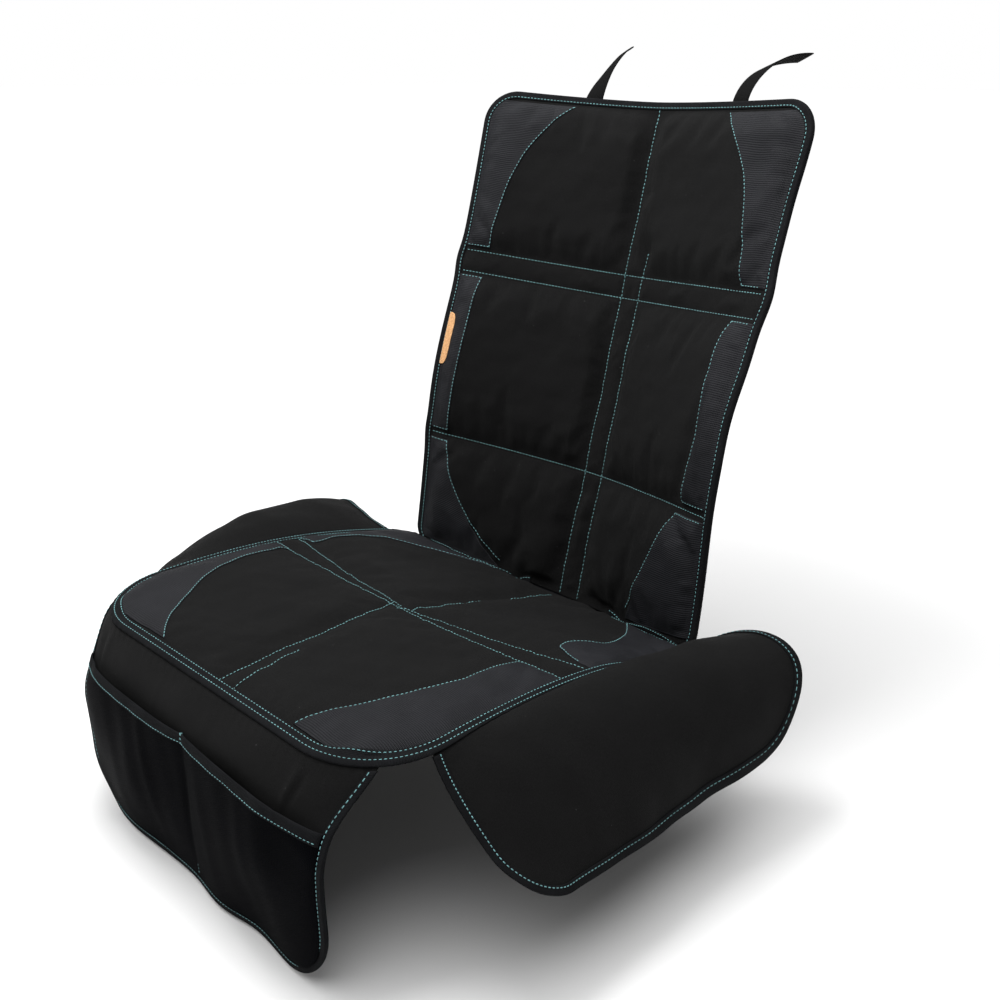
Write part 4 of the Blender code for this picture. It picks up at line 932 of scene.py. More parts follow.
def capsules(place, paths):
    """Stitches along paths: place(a, t) gives points and normals. Each is four six-sided rings, the end
    ones narrower and lower, joined and capped. Returns points, faces and UVs."""
    rings = []
    for a, t in paths:
        s = np.concatenate([[0], np.cumsum(np.hypot(np.diff(a), np.diff(t)))])
        count = max(1, int(round(s[-1] / STITCH_PITCH)))
        step = s[-1] / count
        begin = (np.arange(count) + (1 - STITCH_SHARE) / 2) * step
        at = begin[:, None] + STITCH_SHARE * step * np.array([0.0, 0.2, 0.8, 1.0])
        rings.append(np.stack([np.interp(at, s, a), np.interp(at, s, t)], -1))
    rings = np.concatenate(rings)
    centre, up = place(rings[..., 0], rings[..., 1])
    ahead = (centre[:, -1] - centre[:, 0])[:, None]
    aside = np.cross(up, ahead)
    aside /= np.linalg.norm(aside, axis=-1, keepdims=True)
    turns = np.arange(6) * np.pi / 3
    wide = STITCH_HALF * np.array([0.5, 1, 1, 0.5])[:, None, None]
    sunk = np.array([-0.00025, 0, 0, -0.00025])[:, None, None]
    points = centre[:, :, None] + aside[:, :, None] * wide * np.cos(turns)[:, None]
    points = points + up[:, :, None] * (wide * 0.7 * np.sin(turns)[:, None] + STITCH_LIFT * 0.4 + sunk)
    index = np.arange(points.size // 3).reshape(len(points), 4, 6)
    after = np.roll(index, -1, axis=2)
    sides = np.stack([index[:, :-1], after[:, :-1], after[:, 1:], index[:, 1:]], -1).reshape(-1, 4)
    cap = np.array([[0, 1, 2, 3], [0, 3, 4, 5]])
    ends = [index[:, 0][:, cap[:, ::-1]].reshape(-1, 4), index[:, 3][:, cap].reshape(-1, 4)]
    faces = np.concatenate([sides, *ends])
    flat = np.repeat(rings[:, :, None], 6, axis=2)
    return points.reshape(-1, 3), faces, flat.reshape(-1, 2)


def stitches(name, groups, finish):
    """All the stitches of a panel in one mesh. Each group is (cloth, height over its face, paths)."""
    points, faces, flat, count = [], [], [], 0
    for panel, over, paths in groups:
        made = capsules(lambda a, t: (panel.at(a, t, 1, over), panel.normal(a, t)), paths)
        points.append(made[0])
        faces.append(made[1] + count)
        flat.append(made[2])
        count += len(made[0])
    return add_mesh(name, np.concatenate(points), np.concatenate(faces), np.concatenate(flat), [finish])


def sewn_path(*points):
    """A path through flat points given in mm."""
    a, t = np.array(points, float).T / 1000
    return respaced(a, t, 0.002)


def patch_paths(patches, inset=0.0016):
    """The sewn lines just inside the patches' inner edges."""
    paths = []
    for side, points in patches.values():
        along = np.linspace(points[0][0], points[-1][0], 90) / 1000
        paths.append((patch_line(side, points, along, inset), along))
    return paths


def short_lines(ends):
    """Short sewn lines, each from (across, along) to (across, along) in mm."""
    return [sewn_path(*end) for end in ends]


thread = thread_finish("teal_thread", THREAD_TEAL)
back_lines = [sewn_path((-236, fold * 1000), (236, fold * 1000)) for fold in BACK_FOLDS]
strip_along = np.linspace(0.006, 0.622, 300)
back_lines.append((line_at(STRIP_LEFT, strip_along), strip_along))
strip_along = np.linspace(0.006, 0.446, 220)
back_lines.append((line_at(STRIP_RIGHT, strip_along), strip_along))
back_ends = short_lines([
    ((-203, 422.5), (-236, 422.5)), ((204, 421.5), (232, 421.5)), ((-212, 164.5), (-235, 164.5)),
    ((-205, 379.5), (-235, 379.5)), ((197, 166.5), (234, 166.5)), ((207, 379.5), (234, 379.5)),
    ((-211, 148.5), (-236, 148.5)), ((187, 149.5), (232, 149.5)),
])
back_sewn = [(BACK, 0.0002, back_lines), (BACK, ON_PATCH, patch_paths(BACK_PATCHES) + back_ends)]
back_sewn.append((BACK, ON_TAPE, [offset(*back_rim, -1, STITCH_INSET)]))
stitches("back_stitches", back_sewn, thread)

# Tag: a small tan tag of pressed cork, 73 mm long with round inner corners, caught in the left binding. It
# is bare, with a darker burnished edge.
TAG_LENGTH = 0.073
TAG_WIDTH = 0.0105
TAG_BOTTOM = 0.253
TAG_THICKNESS = 0.0011
TAG_HELD = 0.001
TAG_TUCKED = 0.0020
TAG_ROLL = 0.0009
TAG_LIFT = 0.0002
TAG_TAN = (0.50, 0.275, 0.125)


def cork(name, color):
    """Pressed cork: grains in lighter and darker tan, with small dark pits."""
    finish = Finish(name, 0.75, specular=0.25)
    grains = finish.ramp(finish.noise(0.0022, 3.0), 0.3, 0.7)
    pits = finish.ramp(finish.noise(0.0011, 1.0), 0.66, 0.74)
    tan = finish.tint(grains, scaled(color, 0.72), scaled(color, 1.18))
    finish.paint(finish.tint(pits, tan, scaled(color, 0.32)))
    finish.emboss((grains, 0.0003), (pits, 0.0001))
    return finish.material


rows = TAG_BOTTOM + TAG_LENGTH * (1 - np.cos(np.linspace(0, np.pi, 61))) / 2
middle = TAG_BOTTOM + TAG_LENGTH / 2
round_end = np.clip(1 - np.abs((rows - middle) / (TAG_LENGTH / 2)) ** 6, 0.0, 1) ** 0.5
across = np.linspace(0, 1, 14) ** 0.7
tag_reach = (TAG_HELD + TAG_WIDTH * round_end)[:, None]
tag_a = -(BACK_WIDTH / 2 - TAPE_WIDTH + TAG_TUCKED) + tag_reach * across
tag_t = rows[:, None] * np.ones_like(across)
to_end = np.minimum(tag_t - TAG_BOTTOM, TAG_BOTTOM + TAG_LENGTH - tag_t)
free = np.minimum(tag_reach * (1 - across), to_end)
rolled = np.sqrt(1 - (1 - np.clip(free / TAG_ROLL, 0, 1)) ** 2)
tag_top = ON_PATCH + TAG_LIFT + TAG_THICKNESS * rolled
tag_flat = np.stack([tag_a, tag_t], -1)
tag_sides = [BACK.at(tag_a, tag_t, 1, height) for height in (tag_top, ON_PATCH)]
tag = slab("cork_tag", *tag_sides, tag_flat, [cork("tag_cork", TAG_TAN)])
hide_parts("tag")

# Crease joint: a strip sewn behind the back panel and under the seat panel, over the middle of the crease
# only, so that a buckle can come up on each side of it. It stays as modelled, in tape.
joint = frame["nodes"]["crease_joint"]
joint_flat = joint.data.uv_layers.new(name="flat")
joint_points = np.empty(len(joint.data.vertices) * 3)
joint.data.vertices.foreach_get("co", joint_points)
joint_corners = np.empty(len(joint.data.loops), int)
joint.data.loops.foreach_get("vertex_index", joint_corners)
joint_flat.data.foreach_set("uv", joint_points.reshape(-1, 3)[joint_corners][:, [0, 2]].ravel())
joint.data.materials.clear()
joint.data.materials.append(tape)

# Wings: two single layers of the woven cloth, 190 mm wide, sewn to the seat panel's sides. They arch up
# over the seat's side bolsters and hang down outside them, with a bound free edge.
WING_WIDTH = 0.190
WING_FRONT_RADIUS = 0.065
WING_REAR_RADIUS = 0.060
WING_CORNER = math.pi / 2 / 7
SHEET_THICKNESS = 0.0024
SHEET_PITCH = 0.0034
SHEET_RIM_START = 0.004
SEAM_CLEAR = 0.0025
WING_DRAPE_RIGHT = (
    ((0.27, 0.25, 0.17), (0.56, 0.32, 0.12), (0.70, 0.32, -0.36)),
    ((0.24, 0.00, 0.07), (0.47, 0.00, -0.16), (0.61, 0.00, -0.63)),
    ((0.16, 0.00, -0.21), (0.37, 0.03, -0.42), (0.60, 0.08, -0.62)),
)
WING_DRAPE_LEFT = (
    ((0.29, 0.00, 0.07), (0.59, 0.03, 0.06), (0.79, 0.05, -0.26)),
    ((0.29, 0.00, 0.09), (0.55, 0.00, -0.03), (0.71, 0.00, -0.46)),
    ((0.19, 0.00, -0.20), (0.36, 0.03, -0.42), (0.51, 0.08, -0.68)),
)
WING_CREASES = (
    (60, 20, 90, 120, 16, 1.6), (200, 12, 230, 150, 20, -1.6), (300, 8, 330, 120, 16, 1.5),
    (340, 10, 300, 90, 12, -1.2), (120, 10, 130, 60, 9, 0.9), (180, 8, 176, 40, 7, 0.8),
    (260, 150, 200, 185, 14, 1.6), (100, 150, 150, 186, 14, -1.6),
)
WING_STRAIGHT = SEAT_DEPTH - SEAT_FRONT_RADIUS - SEAT_REAR_RADIUS - CREASE_CLEAR
WING_SEAM = WING_STRAIGHT + SEAT_FRONT_RADIUS * WING_CORNER


def wing_seam(v):
    """Point (across, along) of the seat's right edge at a length from its rear corner: straight, then
    round."""
    turn = np.clip(v - WING_STRAIGHT, 0, None) / SEAT_FRONT_RADIUS
    across = SEAT_WIDTH / 2 - SEAT_FRONT_RADIUS * (1 - np.cos(turn))
    along = CREASE_CLEAR + SEAT_REAR_RADIUS + np.minimum(v, WING_STRAIGHT) + SEAT_FRONT_RADIUS * np.sin(turn)
    return across, along


def between(x, places, values):
    """The polynomial through values at places, for each x."""
    total = 0.0
    for i, (place, value) in enumerate(zip(places, values)):
        weight = np.prod([(x - p) / (place - p) for k, p in enumerate(places) if k != i], axis=0)
        total = total + weight[..., None] * value
    return total


def wing_middle(side, drape):
    """Middle surface of a wing over (length along the seam, distance out): cubics out from the seam at its
    rear, middle and front, joined by a parabola along it."""
    scale = np.array([side, 1.0, 1.0]) * WING_WIDTH
    lines = [[np.zeros(3)] + [np.array(point) * scale for point in line] for line in drape]

    def middle(v, w):
        v, w = np.broadcast_arrays(v, w)
        across, along = wing_seam(v)
        out = [between(w / WING_WIDTH, (0, 1 / 3, 2 / 3, 1), line) for line in lines]
        lifted = np.zeros(v.shape + (3,))
        lifted[..., 2] = seat_sink(side * across, along) * smooth(w / 0.06)
        return seat_middle(side * across, along) + between(v / WING_SEAM, (0, 0.5, 1), out) + lifted

    return middle


def hanging_sheet(sway):
    """Face and underside heights of a single sheet, swayed off its middle surface by a function."""
    return (lambda v, w: SHEET_THICKNESS / 2 + sway(v, w)), (lambda v, w: SHEET_THICKNESS / 2 - sway(v, w))


def wing_sway(seed):
    """How a wing strays from its smooth drape: slow ripples growing outward, creases, and seam puckers."""

    def sway(v, w):
        out = smooth(w / 0.05)
        slow = 0.0018 * ripples(v, w, 0.16, seed) * out + 0.0005 * ripples(v, w, 0.05, seed + 1) * out
        hem = 0.0006 * ripples(v, w, 0.055, seed + 2) * smooth((w - 0.13) / 0.06)
        pucker = 0.0003 * np.sin(v * math.tau / 0.013 + 2 * ripples(v, w, 0.08, seed)) * np.exp(-w / 0.012)
        return slow + hem + pucker + creases(v, w, WING_CREASES) * out

    return sway


def sheet_grid(depth, low, high, rear, front, pitch):
    """Flat grid of a sheet whose rows run from low to high, drawn in round the far side's two corners."""
    turning = round_rows(depth, max(rear, front), -1, 22)
    w = merged(even_lines([SEAM_CLEAR, turning[-1]], pitch), turning)
    start, end = low + corner_inset(depth - w, rear), high - corner_inset(depth - w, front)
    share = even_lines([0, TAPE_WIDTH / (high - low), 1 - TAPE_WIDTH / (high - low), 1], pitch / (high - low))
    return start[:, None] + (end - start)[:, None] * share, w[:, None] * np.ones_like(share)


def free_rim(v, w, start):
    """The three free edges of a sheet, from a distance off its seam, round, and back."""
    row = np.searchsorted(w[:, 0], start)
    v, w = v[row:], w[row:]
    across = np.concatenate([v[:, 0], v[-1, 1:-1], v[::-1, -1]])
    along = np.concatenate([w[:, 0], w[-1, 1:-1], w[::-1, -1]])
    return respaced(across, along, RIM_STEP)


def add_wing(word, node, panel, shift):
    """A wing, its binding and its stitches."""
    high = WING_SEAM - SEAM_CLEAR
    v, w = sheet_grid(WING_WIDTH, SEAM_CLEAR, high, WING_REAR_RADIUS, WING_FRONT_RADIUS, SHEET_PITCH)
    flat = np.stack([v, w + shift], -1)
    wing = slab(word + "_wing_cloth", panel.at(v, w), panel.at(v, w, -1), flat, [cloth])
    rim = free_rim(v, w, SHEET_RIM_START)
    binding = edge_tape(word + "_wing_tape", panel, *rim, -1, tape)
    sewn = stitches(word + "_wing_stitches", [(panel, ON_TAPE, [offset(*rim, -1, STITCH_INSET)])], thread)
    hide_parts(node)
    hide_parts(node + "_binding")


RIGHT_WING = Cloth(wing_middle(1, WING_DRAPE_RIGHT), *hanging_sheet(wing_sway(31)))
LEFT_WING = Cloth(wing_middle(-1, WING_DRAPE_LEFT), *hanging_sheet(wing_sway(41)), -1)
add_wing("right", "right_wing", RIGHT_WING, 2.0)
add_wing("left", "left_wing", LEFT_WING, 3.0)

# Skirt: one layer of the same cloth, sewn to the seat's front edge. It rolls over the cushion's front and
# hangs 236 mm, bound on its three free edges, with a slow wave at its hem.
SKIRT_LENGTH = 0.236
SKIRT_HALF = 0.220
SKIRT_SHIFT = 0.006
SKIRT_RADIUS = 0.070
SKIRT_REACH = 0.030
SKIRT_ROLL = 0.063
SKIRT_CORNER_ROLL = 0.045
SKIRT_WAVE = 0.003
SKIRT_WAVE_TURN = 9.0
SKIRT_ROLL_FALL = 0.86
SKIRT_SPREAD = 0.0725
SKIRT_CORNER = 4 * math.pi / 2 / 7
SKIRT_FLAT = SEAT_WIDTH / 2 - SEAT_FRONT_RADIUS
SKIRT_SEAM_HALF = SKIRT_FLAT + SEAT_FRONT_RADIUS * SKIRT_CORNER
SKIRT_CREASES = (
    (172, 14, 176, 58, 4, 2.4), (182, 16, 184, 50, 4, -1.8), (-190, 10, -214, 60, 8, -2.2),
    (-176, 12, -196, 50, 7, 1.6), (-100, 30, 60, 36, 14, 0.8), (60, 24, 150, 40, 12, -0.8),
    (30, 16, 34, 46, 6, 0.7), (-60, 14, -66, 44, 6, 0.7),
)


def skirt_seam(v):
    """Point (across, along) of the seat's outline at a length from the middle of the front seam."""
    turn = np.clip(np.abs(v) - SKIRT_FLAT, 0, None) / SEAT_FRONT_RADIUS
    across = np.minimum(np.abs(v), SKIRT_FLAT) + SEAT_FRONT_RADIUS * np.sin(turn)
    return np.sign(v) * across, SEAT_DEPTH - SEAT_FRONT_RADIUS * (1 - np.cos(turn))


def skirt_middle(v, w):
    """Middle of the skirt: forward by a quarter sine over the cushion's edge, then straight down, waved."""
    v, w = np.broadcast_arrays(v, w)
    start = seat_middle(*skirt_seam(v)) - CREASE_FROM_LANDING
    share = v / SKIRT_SEAM_HALF
    over = np.sin(np.clip(w / (SKIRT_ROLL + SKIRT_CORNER_ROLL * share**4), 0, 1) * np.pi / 2)
    spread = smooth(w / SKIRT_SPREAD)
    x = start[..., 0] * (1 - spread) + (share * SKIRT_HALF + SKIRT_SHIFT) * spread
    wave = SKIRT_WAVE * (w / SKIRT_LENGTH) ** 2 * np.sin(share * SKIRT_WAVE_TURN)
    y = start[..., 1] * (1 - over) - (SEAT_DEPTH * math.cos(SEAT_TILT) + SKIRT_REACH) * over - wave
    middle = SEAT_DEPTH * math.sin(SEAT_TILT)
    fall = np.minimum(w, SKIRT_ROLL) * SKIRT_ROLL_FALL + np.maximum(w - SKIRT_ROLL, 0)
    whole = SKIRT_LENGTH - SKIRT_ROLL * (1 - SKIRT_ROLL_FALL)
    z = start[..., 2] - fall * (start[..., 2] - middle + whole) / whole
    return np.stack([x, y, z], -1) + CREASE_FROM_LANDING


def skirt_sway(v, w):
    """How the skirt strays from its smooth fall."""
    out = smooth(w / 0.02)
    slow = 0.0011 * ripples(v, w, 0.12, 51) * out
    hem = 0.0005 * ripples(v, w, 0.08, 52) * smooth((w - 0.17) / 0.06)
    pucker = 0.0003 * np.sin(v * math.tau / 0.012) * np.exp(-w / 0.010)
    return slow + hem + pucker + creases(v, w, SKIRT_CREASES) * out


SKIRT = Cloth(skirt_middle, *hanging_sheet(skirt_sway), -1)
seam = SKIRT_SEAM_HALF - SEAM_CLEAR
skirt_v, skirt_w = sheet_grid(SKIRT_LENGTH, -seam, seam, SKIRT_RADIUS, SKIRT_RADIUS, SHEET_PITCH)
skirt_flat = np.stack([skirt_v, skirt_w + 4.0], -1)
skirt = slab("skirt_cloth", SKIRT.at(skirt_v, skirt_w), SKIRT.at(skirt_v, skirt_w, -1), skirt_flat, [cloth])
skirt_rim = free_rim(skirt_v, skirt_w, SHEET_RIM_START)
skirt_tape = edge_tape("skirt_tape", SKIRT, *skirt_rim, -1, tape)
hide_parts("front_skirt")
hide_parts("skirt_binding")

# Pocket: a sheet of fine black mesh as wide as the skirt, caught in its binding and sewn down the middle to
# make two bags. Its top edge is turned into a flat hem, and the mesh hangs from it in soft gathers.
POCKET_TOP = 0.053
POCKET_THICKNESS = 0.0009
POCKET_MOUTH = 0.0075
POCKET_BELLY = 0.0060
POCKET_BAG_POWER = 0.55
POCKET_SLANT = 0.011
POCKET_UNDER = 0.002
POCKET_HALF = SKIRT_SEAM_HALF - SEAM_CLEAR - TAPE_WIDTH
HEM_WIDTH = 0.0105
GATHERS = (
    (-0.172, 0.016, 0.9), (-0.128, 0.018, 1.6), (-0.088, 0.010, 1.3), (-0.050, 0.015, 0.9),
    (-0.020, 0.008, 1.0), (0.026, 0.010, 1.1), (0.070, 0.018, 1.5), (0.112, 0.012, 1.1), (0.150, 0.020, 1.4),
)
MESH_BLACK = (0.0012, 0.0013, 0.0019)


def pocket_depth(w):
    """Share of the way down the pocket, from 0 at its top edge to 1 at the skirt's binding."""
    return np.clip((w - POCKET_TOP) / (SKIRT_LENGTH - TAPE_WIDTH - POCKET_TOP), 0, 1)


def pocket_slant(v, w):
    """How far the pocket's top edge hangs lower towards the right: a square across, fading down the
    pocket."""
    return POCKET_SLANT * np.clip(v / POCKET_HALF, 0, 1) ** 2 * (1 - pocket_depth(w))


def pocket_stand(v, w):
    """How far the mesh stands off the skirt: two bags, each a root of half a sine across and a falling
    parabola with a belly down, and bell-shaped gathers that lean and fade towards the bottom."""
    share = np.clip(np.abs(v) / POCKET_HALF, 0, 1)
    bag = np.sin(np.pi * share) ** POCKET_BAG_POWER
    depth = pocket_depth(w)
    stand = 0.0006 + bag * (POCKET_MOUTH * (1 - depth**2) + POCKET_BELLY * np.sin(np.pi * depth))
    for place, width, height in GATHERS:
        lean = v - place - 0.024 * depth
        stand = stand + bag * height / 1000 * np.exp(-((lean / width) ** 2)) * np.sin(np.pi * depth**0.6)
    return stand


def pocket_mesh(name, color):
    """Fine knitted mesh: holes in a hexagonal pattern, darker and sunk."""
    finish = Finish(name, 0.6, specular=0.01)
    yarn = finish.ramp(finish.hexagons(0.0021), 1.6, 0.2)
    clouds = finish.ramp(finish.noise(0.05, 3.0), 0.3, 0.7)
    uneven = finish.tint(clouds, scaled(color, 0.9), scaled(color, 1.25))
    finish.paint(finish.tint(yarn, scaled(color, 0.3), uneven))
    finish.emboss((yarn, 0.0004))
    return finish.material


pocket_radius = SKIRT_RADIUS - TAPE_WIDTH
pocket_end = SKIRT_LENGTH - TAPE_WIDTH + POCKET_UNDER
turning = round_rows(pocket_end, pocket_radius, -1, 22)
pocket_rows = merged(even_lines([POCKET_TOP, turning[-1]], SHEET_PITCH), turning)
ends = POCKET_HALF + POCKET_UNDER - corner_inset(pocket_end - pocket_rows, pocket_radius)
share = np.linspace(-1, 1, 140)
pocket_v, pocket_w = ends[:, None] * share, pocket_rows[:, None] * np.ones_like(share)
pocket_w = pocket_w + pocket_slant(pocket_v, pocket_w)
pocket_flat = np.stack([pocket_v, pocket_w + 5.0], -1)
POCKET = Cloth(skirt_middle, lambda v, w: SKIRT.face(v, w) + pocket_stand(v, w) + POCKET_THICKNESS, None, -1)
mesh_finish = pocket_mesh("pocket_mesh_cloth", MESH_BLACK)
pocket_sides = [POCKET.at(pocket_v, pocket_w, 1, height) for height in (0.0, -POCKET_THICKNESS)]
pocket = slab("pocket_cloth", *pocket_sides, pocket_flat, [mesh_finish])
hem_v = respaced(np.array([-POCKET_HALF, POCKET_HALF]), np.array([POCKET_TOP, POCKET_TOP]), RIM_STEP)[0]


def hem_row(drop, lift):
    """One line of the hem's section: at a drop below the mesh's top edge and a height over its face."""
    return POCKET.at(hem_v, POCKET_TOP + drop + pocket_slant(hem_v, POCKET_TOP), 1, lift)


HEM_TOP = 0.0012
hem_section = [
    (HEM_WIDTH, 0.0), (HEM_WIDTH, 0.0008), (HEM_WIDTH - 0.0006, HEM_TOP), (0.006, HEM_TOP), (0.002, HEM_TOP),
    (-0.0006, HEM_TOP * 0.8), (-0.0014, 0.0), (-0.0006, -POCKET_THICKNESS - 0.0005),
    (0.002, -POCKET_THICKNESS - 0.0004), (0.002, 0.0),
]
hem_loops = np.stack([hem_row(drop, lift) for drop, lift in hem_section], 1)
hem = loft("pocket_hem_tape", hem_loops, hem_v - hem_v[0], tape)
hem_sewn = [(hem_v[1:-1], POCKET_TOP + 0.0082 + pocket_slant(hem_v[1:-1], POCKET_TOP))]
divider = [sewn_path((0, 50), (0, 224))]
bar_tack = short_lines([
    ((-1.6, 51), (1.6, 51)), ((-1.6, 52.6), (1.6, 52.6)), ((0.9, 50), (0.9, 64)), ((-0.9, 50), (-0.9, 64)),
])
skirt_sewn = stitches("skirt_stitches", [(SKIRT, ON_TAPE, [offset(*skirt_rim, -1, STITCH_INSET)])], thread)
pocket_lines = [(POCKET, HEM_TOP, hem_sewn + bar_tack), (POCKET, 0.0, divider)]
pocket_sewn = stitches("pocket_stitches", pocket_lines, thread)
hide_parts("pocket_mesh")
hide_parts("pocket_hem")

# Seam tape: a tape sewn with two rows of stitches over the seam between the seat panel and what hangs from
# it, from one rear corner round the front to the other.
SEAM_TAPE_OUT = 0.0030
SEAM_STITCHES = (0.0090, 0.0014)


def beside_seam(a, t, out, lift):
    """Points over the wings and the skirt, out from the seat's outline. Round each front corner, between a
    wing and the skirt, they are carried over in a straight share of the turn."""
    front = SEAT_DEPTH - SEAT_FRONT_RADIUS
    across = np.abs(a)
    turn = np.arctan2(t - front, across - SKIRT_FLAT)
    beyond = WING_STRAIGHT + SEAT_FRONT_RADIUS * turn
    side_length = np.where(t > front, beyond, t - CREASE_CLEAR - SEAT_REAR_RADIUS)
    front_length = np.where(across > SKIRT_FLAT, SKIRT_FLAT + SEAT_FRONT_RADIUS * (np.pi / 2 - turn), across)
    edge = seat_middle(a, t)
    right = RIGHT_WING.at(side_length, out, 1, lift) - edge
    left = LEFT_WING.at(side_length, out, 1, lift) - edge
    below = SKIRT.at(np.sign(a) * front_length, out, 1, lift) - edge
    share = np.clip((turn - WING_CORNER) / (np.pi / 2 - SKIRT_CORNER - WING_CORNER), 0, 1)
    share = np.where(t > front, share, 0.0)[:, None]
    return edge + np.where((a > 0)[:, None], right, left) * (1 - share) + below * share


keep = np.nonzero(seat_t[:, 0] > CREASE_CLEAR + SEAT_REAR_RADIUS - 1e-4)[0]
seam_a = np.concatenate([seat_a[keep, 0], seat_a[-1, 1:-1], seat_a[keep, -1][::-1]])
seam_t = np.concatenate([seat_t[keep, 0], seat_t[-1, 1:-1], seat_t[keep, -1][::-1]])
seam_a, seam_t = respaced(seam_a, seam_t, RIM_STEP)
seam_ia, seam_it = path_inward(seam_a, seam_t, -1)


def seat_row(inset, extra):
    """A line over the seat panel, in from its outline."""
    return SEAT.at(seam_a + seam_ia * inset, seam_t + seam_it * inset, 1, extra)


seam_inside = [(SEAM_TAPE_IN, 0.0), (SEAM_TAPE_IN, 0.0007), (SEAM_TAPE_IN - 0.0006, ON_TAPE)]
seam_inside += [(inset, ON_TAPE) for inset in (0.0075, 0.0050, 0.0025, 0.0006)]
seam_outside = [
    (0.0012, ON_TAPE), (SEAM_TAPE_OUT - 0.0004, ON_TAPE * 0.9), (SEAM_TAPE_OUT, 0.0), (0.0012, -0.0004),
]
seam_loops = [seat_row(inset, lift) for inset, lift in seam_inside]
seam_loops += [beside_seam(seam_a, seam_t, out, lift) for out, lift in seam_outside]
seam_loops.append(seat_row(0.003, 0.0))
seam_length = np.concatenate([[0], np.cumsum(np.hypot(np.diff(seam_a), np.diff(seam_t)))])
seam_tape = loft("seat_seam_tape_cloth", np.stack(seam_loops, 1), seam_length, tape)
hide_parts("seat_seam_tape")

# Rear bindings: tapes on the seat panel's two free rear edges, from the seam to the crease joint.
corner = keep[0]
low = seat_a[0]
left, right = np.nonzero(low < JOINT_CENTRE - JOINT_HALF)[0], np.nonzero(low > JOINT_CENTRE + JOINT_HALF)[0]
rear_left = [np.concatenate([flat[1:corner, 0][::-1], flat[0][left]]) for flat in (seat_a, seat_t)]
rear_right = [np.concatenate([flat[0][right], flat[1:corner, -1]]) for flat in (seat_a, seat_t)]
rear_left, rear_right = respaced(*rear_left, RIM_STEP), respaced(*rear_right, RIM_STEP)
for word, rim in (("left", rear_left), ("right", rear_right)):
    binding = edge_tape("seat_rear_tape_" + word, SEAT, *rim, 1, tape)
    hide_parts("seat_rear_binding_" + word)

seat_rear = [offset(*rear_left, 1, STITCH_INSET), offset(*rear_right, 1, STITCH_INSET)]
seam_sewn = [(seam_a + seam_ia * inset, seam_t + seam_it * inset) for inset in SEAM_STITCHES]
fold_left = [(a, fold_rear(a / 1000) * 1000) for a in range(-245, 0, 5)]
fold_right = [(a, fold_rear(a / 1000) * 1000) for a in range(0, 243, 5)]
seat_lines = [
    sewn_path((-246, 243), (246, 243)), sewn_path(*fold_left), sewn_path(*fold_right),
    sewn_path((12, 496), (-4, 366), (-20, 238)), sewn_path((38, 497), (24, 405)),
    sewn_path((-2, 250), (2, 238)), sewn_path((8, 215), (4, 130), (3, 8)), sewn_path((33, 24), (30, 8)),
    sewn_path((8, 215), (6, 226), (10, 236)),
]
seat_ends = short_lines([
    ((-222, 204.4), (-246, 207.6)), ((-220, 243), (-246, 243)), ((190, 243), (246, 243)),
])
seat_sewn = [(SEAT, 0.0008, seat_lines), (SEAT, ON_PATCH, patch_paths(SEAT_PATCHES) + seat_ends)]
seat_sewn.append((SEAT, ON_TAPE, seam_sewn + seat_rear))
stitches("seat_stitches", seat_sewn, thread)

# Straps: two lengths of black webbing, 25 mm wide, sewn behind the back panel's top edge. They rise and run
# back to the headrest's posts, turning as they go.
STRAP_WIDTH = 0.025
STRAP_THICKNESS = 0.0015
STRAP_SEWN = 0.020
STRAP_TURN_POWER = 0.8
WEBBING_BLACK = (0.0052, 0.0052, 0.0053)


def webbing_finish(name, color):
    """Webbing: cords along it and slanted weft threads, waves along both of the strap's own coordinates."""
    finish = Finish(name, 0.8, specular=0.02)
    slant = finish.math("ADD", finish.u, finish.math("PINGPONG", finish.v, 0.003))
    weft = finish.math("ABSOLUTE", finish.wave(slant, 0.0030))
    cords = finish.math("MULTIPLY_ADD", finish.wave(finish.v, 0.0021), 0.4, weft)
    finish.paint(finish.tint(finish.ramp(cords, -0.2, 1.1), scaled(color, 0.5), scaled(color, 1.3)))
    finish.emboss((cords, 0.0004))
    return finish.material


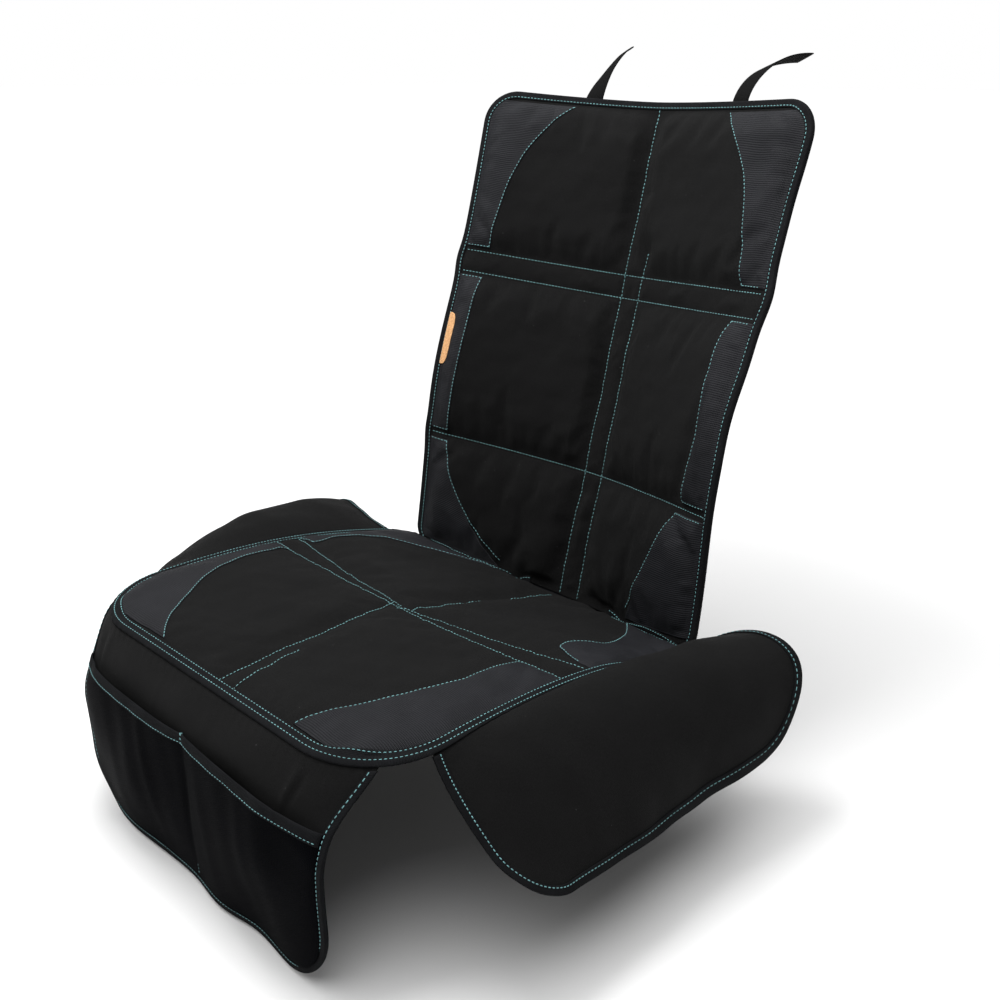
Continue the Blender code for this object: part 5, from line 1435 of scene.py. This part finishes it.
def add_strap(name, node, place, rise, reach, ease, bend, turn_middle, turn_end, finish):
    """A strap: its line goes straight up behind the panel's edge, then rises by a falling power and runs
    back by a power of its length, while its section turns by half a sine wave and an easing curve."""
    top = BACK_HEIGHT + 0.0016
    sewn = np.linspace(top - STRAP_SEWN, top, 7)
    edge = BACK.at(place, sewn, -1, 0.0024 + STRAP_THICKNESS / 2)
    sides = [BACK.at(place + s * STRAP_WIDTH / 2, sewn, -1, 0.0024) for s in (1, -1)]
    cross = sides[0] - sides[1]
    up = edge[-1] - edge[-2]
    up = up / np.linalg.norm(up)
    u = np.linspace(0, 1, 49)[1:, None]
    free = edge[-1] + up * rise * (1 - (1 - u) ** ease) + np.array([0.0, reach, 0.0]) * u**bend
    line = np.concatenate([edge, free])
    tangent = np.gradient(line, axis=0)
    tangent /= np.linalg.norm(tangent, axis=1, keepdims=True)
    cross = cross / np.linalg.norm(cross, axis=1, keepdims=True)
    level = smooth(u * 2)
    cross = np.concatenate([cross, cross[-1] * (1 - level) + np.array([1.0, 0.0, 0.0]) * level])
    wide = cross - tangent * (tangent * cross).sum(1, keepdims=True)
    wide /= np.linalg.norm(wide, axis=1, keepdims=True)
    normal = np.cross(wide, tangent)
    turn = turn_middle * np.sin(np.pi * u**STRAP_TURN_POWER) + turn_end * smooth(u)
    turn = np.radians(np.concatenate([np.zeros((len(edge), 1)), turn]))
    wide, normal = wide * np.cos(turn) + normal * np.sin(turn), normal * np.cos(turn) - wide * np.sin(turn)
    w, h = STRAP_WIDTH / 2, STRAP_THICKNESS / 2
    crown = [(x * w, h * (1 + 0.3 * (1 - x * x))) for x in (-0.6, -0.2, 0.2, 0.6)]
    section = [(-w, 0), (-w + h, h), *crown, (w - h, h)]
    section += [(w, 0)] + [(-a, -b) for a, b in section[1:]]
    loops = np.stack([line + wide * a + normal * b for a, b in section], 1)
    lengths = np.concatenate([[0], np.cumsum(np.linalg.norm(np.diff(line, axis=0), axis=1))])
    strap = loft(name, loops, lengths, finish)
    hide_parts(node)


webbing = webbing_finish("webbing", WEBBING_BLACK)
add_strap("left_webbing", "strap_left", -0.099, 0.062, 0.050, 1.3, 1.35, 12, 24, webbing)
add_strap("right_webbing", "strap_right", 0.122, 0.052, 0.128, 2.0, 1.7, 6, 26, webbing)

# The room: a plain pale floor under the skirt's hem, a white surround, and two broad soft lights, one from
# the front left above and one from overhead.
FLOOR_GAP = 0.004
FLOOR_REACH = 60.0
FLOOR_PALE = 0.62
KEY_PLACE = Vector((-0.10, -0.05, 1.20))
KEY_AIM = Vector((0.0, 0.25, 0.1))
KEY_SIZE = 0.5
KEY_POWER = 16
SURROUND_LIGHT = 0.30
object_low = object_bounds()[0]


def soft_light(name, towards, strength, spread):
    """A distant light that shines from a direction, as broad as an angle."""
    light = bpy.data.lights.new(name, "SUN")
    light.energy = strength
    light.angle = math.radians(spread)
    made = bpy.data.objects.new(name, light)
    made.rotation_euler = Vector(towards).to_track_quat("Z", "Y").to_euler()
    bpy.context.scene.collection.objects.link(made)


floor_mesh = bpy.data.meshes.new("floor")
level = object_low[2] - FLOOR_GAP
corners = [(x * FLOOR_REACH, y * FLOOR_REACH, level) for x, y in ((-1, -1), (1, -1), (1, 1), (-1, 1))]
floor_mesh.from_pydata(corners, [], [(0, 1, 2, 3)])
floor = bpy.data.objects.new("floor", floor_mesh)
bpy.context.scene.collection.objects.link(floor)
pale = bpy.data.materials.new("pale_floor")
pale.use_nodes = True
pale_shader = pale.node_tree.nodes["Principled BSDF"]
pale_shader.inputs["Base Color"].default_value = (FLOOR_PALE, FLOOR_PALE, FLOOR_PALE, 1.0)
pale_shader.inputs["Specular IOR Level"].default_value = 0.0
pale_shader.inputs["Roughness"].default_value = 0.9
floor_mesh.materials.append(pale)
world = bpy.data.worlds.new("surround")
world.use_nodes = True
backdrop = world.node_tree.nodes["Background"]
backdrop.inputs["Color"].default_value = (1.0, 1.0, 1.0, 1.0)
seen = world.node_tree.nodes.new("ShaderNodeLightPath")
strength = world.node_tree.nodes.new("ShaderNodeMapRange")
strength.inputs["To Min"].default_value = SURROUND_LIGHT
strength.inputs["To Max"].default_value = 1.0
world.node_tree.links.new(seen.outputs["Is Camera Ray"], strength.inputs["Value"])
world.node_tree.links.new(strength.outputs["Result"], backdrop.inputs["Strength"])
bpy.context.scene.world = world
bpy.context.scene.view_settings.view_transform = "Standard"
soft_light("overhead", (-0.16, -0.10, 0.95), 4.4, 80)
key = bpy.data.lights.new("key", "AREA")
key.size = KEY_SIZE
key.energy = KEY_POWER
key_light = bpy.data.objects.new("key", key)
key_light.location = KEY_PLACE
key_light.rotation_euler = (KEY_PLACE - KEY_AIM).to_track_quat("Z", "Y").to_euler()
bpy.context.scene.collection.objects.link(key_light)

# Camera: where the photograph was taken from, to the object's front right and above, with a slight roll.
CAMERA_PLACE = Vector((0.868, -0.656, 0.582))
CAMERA_AIM = Vector((0.0158, 0.2277, 0.1001))
CAMERA_ROLL = math.radians(0.25)
camera_data = bpy.data.cameras.new("camera")
camera_data.sensor_width = 36.0
camera_data.lens = 39.18
camera_data.clip_start = 0.01
camera = bpy.data.objects.new("camera", camera_data)
facing = (CAMERA_AIM - CAMERA_PLACE).to_track_quat("-Z", "Y").to_matrix().to_4x4()
camera.matrix_world = Matrix.Translation(CAMERA_PLACE) @ facing @ Matrix.Rotation(CAMERA_ROLL, 4, "Z")
bpy.context.scene.collection.objects.link(camera)
bpy.context.scene.camera = camera
